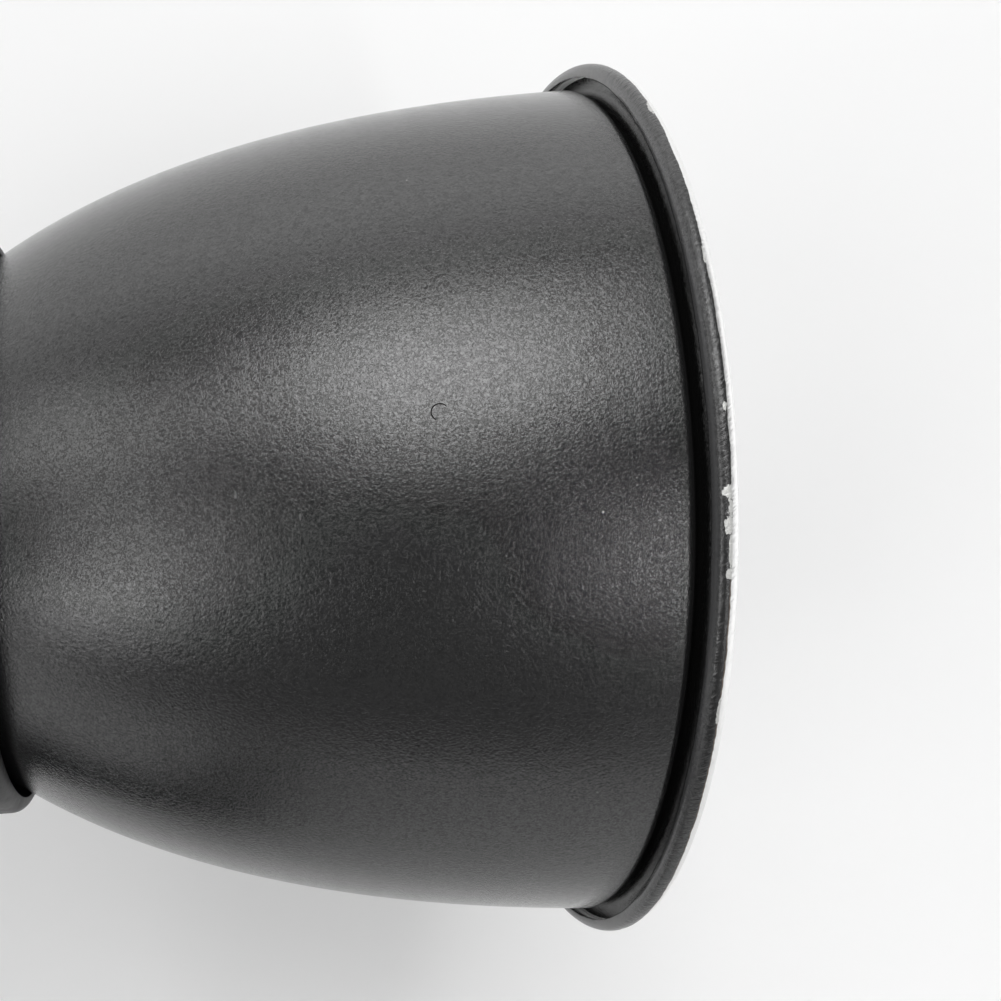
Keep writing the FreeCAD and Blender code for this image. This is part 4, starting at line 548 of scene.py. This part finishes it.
# ---------------------------------------------------------------- meshes
def piece(name, verts, faces, materials, face_materials=None, smooth=True):
    mesh = bpy.data.meshes.new(name)
    mesh.from_pydata(verts, [], faces)
    for material in materials:
        mesh.materials.append(material)
    if face_materials:
        mesh.polygons.foreach_set("material_index", face_materials)
    mesh.polygons.foreach_set("use_smooth", [smooth] * len(mesh.polygons))
    mesh.validate()
    mesh.update()
    obj = bpy.data.objects.new(name, mesh)
    bpy.context.scene.collection.objects.link(obj)
    return obj


def along(point, angle, distance):
    return (point[0] + distance * math.sin(angle), point[1] + distance * math.cos(angle))


def arc(centre_point, radius, first, last, steps):
    return [along(centre_point, first + (last - first) * k / steps, radius) for k in range(steps + 1)]


def bell_radius(u):
    return BELL_R * math.sqrt(1.0 - ((BELL_CENTRE - u) / BELL_LENGTH) ** BELL_POWER)


def bell_slope(u):
    share = (BELL_CENTRE - u) / BELL_LENGTH
    rise = BELL_R * 0.5 * BELL_POWER * share ** (BELL_POWER - 1.0)
    return math.atan2(rise, BELL_LENGTH * math.sqrt(1.0 - share ** BELL_POWER))


SIDE_STEPS = 70


def bell_side(inset):
    """One side of the sheet as (u, r) points, from the neck's rear end to the front plane."""
    share = (1.0 - (NECK_START_R / BELL_R) ** 2) ** (1.0 / BELL_POWER)
    start_u = BELL_CENTRE - share * BELL_LENGTH
    slope = bell_slope(start_u)
    neck_round = (NECK_START_R - NECK_R) / (1.0 - math.cos(slope))
    neck_centre = along((start_u, NECK_START_R), -slope, neck_round)
    points = [(NECK_X - RIM_X, NECK_R - inset), (neck_centre[0], NECK_R - inset)]
    points += arc(neck_centre, neck_round + inset, math.pi, math.pi - slope, 14)[1:]
    for k in range(1, SIDE_STEPS + 1):
        u = start_u + (SHOULDER_U - start_u) * (k / SIDE_STEPS) ** 1.5
        points.append(along((u, bell_radius(u)), -bell_slope(u), -inset))
    end_slope = bell_slope(SHOULDER_U)
    shoulder = along((SHOULDER_U, bell_radius(SHOULDER_U)), -end_slope, -SHOULDER_R)
    room = -SHEET - shoulder[0] - SHOULDER_R * math.sin(SHOULDER_TURN)
    groove_r = room / (1.0 + math.sin(SHOULDER_TURN))
    groove = along(shoulder, SHOULDER_TURN, SHOULDER_R + groove_r)
    points += arc(shoulder, SHOULDER_R - inset, -end_slope, SHOULDER_TURN, 16)[1:]
    points += arc(groove, groove_r + inset, SHOULDER_TURN + math.pi, 0.5 * math.pi, 12)[1:]
    points.append((-SHEET + inset, RIM_R - BEAD_R))
    return points


BELL_TURNS = 720
ROLL_IN_STEPS, ROLL_OUT_STEPS = 20, 56
EDGE_RAGGED, EDGE_WAVE = 0.10 * MM, 0.06 * MM


def reflector():
    """The bell, its neck and the rolled bead, with a slightly uneven free edge on the roll."""
    free = 0.5 * math.pi - BEAD_WRAP
    outside = bell_side(0.0)
    roll_in = arc(BEAD_CENTRE, BEAD_R - SHEET, 0.5 * math.pi, free, ROLL_IN_STEPS)[1:]
    roll_out = arc(BEAD_CENTRE, BEAD_R, free, 0.5 * math.pi, ROLL_OUT_STEPS)
    inside = list(reversed(bell_side(SHEET)))[1:]
    profile = outside + roll_in + roll_out + inside
    first_bare = len(outside) + len(roll_in) + len(roll_out) - 3
    free_from, free_to = len(outside) + len(roll_in) - 5, len(outside) + len(roll_in) + 6
    middle = (free_from + free_to - 1) / 2
    verts = []
    for k in range(BELL_TURNS):
        angle = 2 * math.pi * k / BELL_TURNS
        c, sn = math.cos(angle), math.sin(angle)
        ragged = noise.fractal((c * 14.0, sn * 14.0, 3.1), 0.7, 2.3, 5) * EDGE_RAGGED
        wave = noise.noise((c * 2.2, sn * 2.2, 9.4)) * EDGE_WAVE
        for index, (u, r) in enumerate(profile):
            if free_from < index < free_to:
                share = 1.0 - abs(index - middle) / (middle - free_from)
                u += (ragged + wave) * share * 0.55
                r += (ragged + wave) * share * 0.75
            verts.append((RIM_X + u, AXIS_Y + r * c, AXIS_Z + r * sn))
    count = len(profile)
    faces, kinds = [], []
    for k in range(BELL_TURNS):
        a, b = k * count, ((k + 1) % BELL_TURNS) * count
        for i in range(count):
            j = (i + 1) % count
            faces.append((a + i, a + j, b + j, b + i))
            kinds.append(1 if i >= first_bare else 0)
    obj = piece("reflector_spun_bell", verts, faces, [bell_coat, bell_inner], kinds)
    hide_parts("reflector_bell", "reflector_neck")
    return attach(obj, "reflector")


reflector()


PRINT_THICK = 0.04 * MM
TICK_WIDTH = 0.24 * MM


def numerals(name, words, radius, size, face_x, body, ticks, tick_from, tick_to):
    """Numbers and tick marks printed in a ring on a face that looks back along -X."""
    verts, faces = [], []

    def place(across, rise, out, turn):
        c, sn = math.cos(turn), math.sin(turn)
        verts.append((face_x - out, AXIS_Y - rise * sn - across * c, AXIS_Z + rise * c - across * sn))

    for k, word in enumerate(words):
        curve = bpy.data.curves.new("word", "FONT")
        curve.body, curve.size, curve.extrude = word, size, PRINT_THICK / 2
        curve.align_x, curve.align_y = "CENTER", "CENTER"
        text = bpy.data.objects.new("word", curve)
        bpy.context.scene.collection.objects.link(text)
        bpy.context.view_layer.update()
        mesh = text.to_mesh()
        start = len(verts)
        for vertex in mesh.vertices:
            across, rise, out = vertex.co
            place(across, radius + rise, PRINT_THICK / 2 + out, 2 * math.pi * k / len(words))
        faces += [tuple(start + i for i in polygon.vertices) for polygon in mesh.polygons]
        text.to_mesh_clear()
        bpy.data.objects.remove(text)
        bpy.data.curves.remove(curve)
    side = TICK_WIDTH / 2
    for k in range(ticks):
        start = len(verts)
        for out in (0.0, PRINT_THICK):
            for across, rise in ((-side, tick_from), (side, tick_from), (side, tick_to), (-side, tick_to)):
                place(across, rise, out, 2 * math.pi * k / ticks)
        for quad in ((0, 1, 2, 3), (7, 6, 5, 4), (0, 4, 5, 1), (1, 5, 6, 2), (2, 6, 7, 3), (3, 7, 4, 0)):
            faces.append(tuple(start + i for i in quad))
    obj = piece(name, verts, faces, [dial_white], smooth=False)
    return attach(obj, body)


# numbers' radius and size, number of ticks, and the ticks' inner and outer radius
numerals("dial_numbers", "1 2 4 8 15 30 60 125 250 500".split(), 14.6 * MM, 2.7 * MM,
         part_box("dial_disc")[0].x, "dial", 30, 17.0 * MM, 18.2 * MM)
numerals("cover_numbers", "3 4 5 6 8 10 12 15 20 25 30 40".split(), 24.2 * MM, 2.9 * MM,
         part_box("dial_plate")[0].x, "head", 48, 20.9 * MM, 21.9 * MM)


RIBBONS, RIBBON_STEPS, RIBBON_STEP = 150, 13, 0.17
WOOL_EDGE = 0.97                     # of the space's own radius


def foil_wool():
    """Fine shredded foil filling the bulb: crinkled ribbons that wander inside an egg-shaped space."""
    low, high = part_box("bulb_foil")
    middle = (low + high) / 2
    reach = Vector(((high.x - low.x) * 0.44, (high.y - low.y) * 0.43, (high.z - low.z) * 0.43))
    draw = random.Random(11)
    verts, faces = [], []
    for _ in range(RIBBONS):
        point = Vector([draw.uniform(-0.75, 0.75) for _ in range(3)])
        heading = Vector([draw.gauss(0, 1) for _ in range(3)]).normalized()
        side = heading.orthogonal().normalized()
        start = len(verts)
        for _ in range(RIBBON_STEPS):
            if point.length > WOOL_EDGE:
                point = point * (WOOL_EDGE / point.length)
            place = Vector([middle[i] + point[i] * reach[i] for i in range(3)])
            width = side * draw.uniform(0.35, 0.6) * MM
            verts += [tuple(place - width), tuple(place + width)]
            heading = (heading + Vector([draw.gauss(0, 0.55) for _ in range(3)])).normalized()
            side = (side + Vector([draw.gauss(0, 0.45) for _ in range(3)])).normalized()
            point = point + heading * RIBBON_STEP
        for k in range(start, len(verts) - 2, 2):
            faces.append((k, k + 1, k + 3, k + 2))
    obj = piece("bulb_foil_wool", verts, faces, [foil], smooth=False)
    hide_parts("bulb_foil")
    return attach(obj, "bulb")


foil_wool()


# ---------------------------------------------------------------- stage, lamps and camera
def soft_box(name, azimuth, elevation, wide, tall, radiance):
    """A lamp of the given angular size in degrees, as seen from the bell; radiance 1.0 renders as white."""
    a, e = math.radians(azimuth), math.radians(elevation)
    direction = Vector((math.sin(a) * math.cos(e), -math.cos(a) * math.cos(e), math.sin(e)))
    data = bpy.data.lights.new(name, "AREA")
    data.shape = "RECTANGLE"
    data.size = 2 * LAMP_DISTANCE * math.tan(math.radians(wide / 2))
    data.size_y = 2 * LAMP_DISTANCE * math.tan(math.radians(tall / 2))
    data.energy = radiance * math.pi * data.size * data.size_y
    lamp = bpy.data.objects.new(name, data)
    lamp.location = Vector(MIDDLE) + direction * LAMP_DISTANCE
    lamp.rotation_euler = (-direction).to_track_quat("-Z", "Y").to_euler()
    bpy.context.scene.collection.objects.link(lamp)


def sweep():
    """A pale floor that curves up into a wall close behind the object; from behind it isn't there."""
    floor_z = CAD_BOX[0][2] - FLOOR_DROP
    section = [(SWEEP_FRONT, floor_z), (WALL_Y - SWEEP_BEND, floor_z)]
    for k in range(1, SWEEP_STEPS + 1):
        angle = 0.5 * math.pi * k / SWEEP_STEPS
        back, rise = 1 - math.sin(angle), 1 - math.cos(angle)
        section.append((WALL_Y - SWEEP_BEND * back, floor_z + SWEEP_BEND * rise))
    section.append((WALL_Y, WALL_TOP))
    verts, faces = [], []
    for y, z in section:
        verts += [(SWEEP_LEFT, y, z), (SWEEP_RIGHT, y, z)]
    for k in range(len(section) - 1):
        faces.append((2 * k, 2 * k + 1, 2 * k + 3, 2 * k + 2))
    obj = piece("sweep", verts, faces, [backdrop()])
    return obj


MIDDLE = (70 * MM, AXIS_Y, AXIS_Z)
LAMP_DISTANCE = 3.0
WALL_Y = AXIS_Y + 0.085
WALL_TOP = 0.75
FLOOR_DROP = 0.3 * MM                # keeps the floor just clear of the foot
SWEEP_BEND = 0.03
SWEEP_STEPS = 16
SWEEP_FRONT = -0.05
SWEEP_LEFT, SWEEP_RIGHT = RIM_X - 0.55, RIM_X + 0.45

# name, then degrees round from -Y towards +X, degrees up, degrees wide, degrees tall, radiance
LAMPS = (
    ("key", -2.9, 45.8, 30.9, 38.0, 2.55),
    ("key_low", -11.0, 31.7, 20.7, 38.0, 2.15),
    ("key_wing", -32.1, 39.8, 10.9, 26.7, 1.97),
    ("left_top", -60.4, 25.2, 33.2, 26.0, 1.48),
    ("left_foot", -57.0, -20.5, 24.0, 17.0, 2.0),
    ("left_middle", -46.5, -5.4, 28.7, 28.0, 1.65),
    ("right_strip", 13.2, -6.8, 4.2, 30.0, 8.6),
    ("right_foot", 19.3, -28.0, 2.5, 12.4, 5.0),
)
sweep()
for lamp_values in LAMPS:
    soft_box(*lamp_values)


def studio_world():
    """A dim room with brighter walls on a few sides; the camera itself sees an even pale grey."""
    world = bpy.data.worlds.new("studio")
    bpy.context.scene.world = world
    world.use_nodes = True
    nodes, links = world.node_tree.nodes, world.node_tree.links
    direction = nodes.new("ShaderNodeTexCoord").outputs["Generated"]
    level = None
    for toward, strength in WORLD_SIDES:
        dot = nodes.new("ShaderNodeVectorMath")
        dot.operation = "DOT_PRODUCT"
        links.new(direction, dot.inputs[0])
        dot.inputs[1].default_value = Vector(toward).normalized()
        fade = nodes.new("ShaderNodeMapRange")
        fade.interpolation_type = "SMOOTHSTEP"
        links.new(dot.outputs["Value"], fade.inputs["Value"])
        for socket, value in zip(("From Min", "From Max", "To Max"), (*WORLD_FADE, strength)):
            fade.inputs[socket].default_value = value
        total = nodes.new("ShaderNodeMath")
        links.new(fade.outputs[0], total.inputs[0])
        if level is None:
            total.inputs[1].default_value = ROOM
        else:
            links.new(level, total.inputs[1])
        level = total.outputs[0]
    path = nodes.new("ShaderNodeLightPath")
    seen = nodes.new("ShaderNodeMix")
    links.new(path.outputs["Is Camera Ray"], seen.inputs["Factor"])
    links.new(level, seen.inputs["A"])
    seen.inputs["B"].default_value = SEEN_BACKGROUND
    links.new(seen.outputs[0], nodes["Background"].inputs["Strength"])
    nodes["Background"].inputs["Color"].default_value = (1.0, 1.0, 1.0, 1.0)


ROOM = 0.235
SEEN_BACKGROUND = 0.91
WORLD_FADE = (0.2, 0.9)              # cosines of the angle from a side's middle
WORLD_SIDES = (
    ((0.0, 1.0, 1.0), 1.15), ((-1.0, 0.0, 1.0), 0.25), ((0.9, 0.2, -0.35), 0.85), ((0.8, 0.6, 0.0), 0.15),
)
studio_world()

# camera fitted to the photograph's outlines; the place is measured from the rim and the lamp axis
SENSOR, LENS = 36.0, 44.69
SHIFT_X, SHIFT_Y = 0.09207, 0.10
YAW, PITCH, ROLL = 0.1620, -0.1374, 0.0239
CAMERA_AT = (RIM_X - 57.41 * MM, AXIS_Y - 191.00 * MM, AXIS_Z + 13.22 * MM)
NEAREST, FARTHEST = 0.005, 20.0

camera_data = bpy.data.cameras.new("camera")
camera_data.sensor_width = SENSOR
camera_data.lens = LENS
camera_data.shift_x, camera_data.shift_y = SHIFT_X, SHIFT_Y
camera_data.clip_start, camera_data.clip_end = NEAREST, FARTHEST
camera = bpy.data.objects.new("camera", camera_data)
forward = Vector((math.sin(YAW) * math.cos(PITCH), math.cos(YAW) * math.cos(PITCH), math.sin(PITCH)))
level = Vector((math.cos(YAW), -math.sin(YAW), 0.0))
upright = level.cross(forward)
right = level * math.cos(ROLL) - upright * math.sin(ROLL)
up = upright * math.cos(ROLL) + level * math.sin(ROLL)
camera.matrix_world = Matrix((right, up, -forward)).transposed().to_4x4()
camera.location = Vector(CAMERA_AT)
bpy.context.scene.collection.objects.link(camera)
bpy.context.scene.camera = camera
bpy.context.scene.view_settings.view_transform = "Standard"
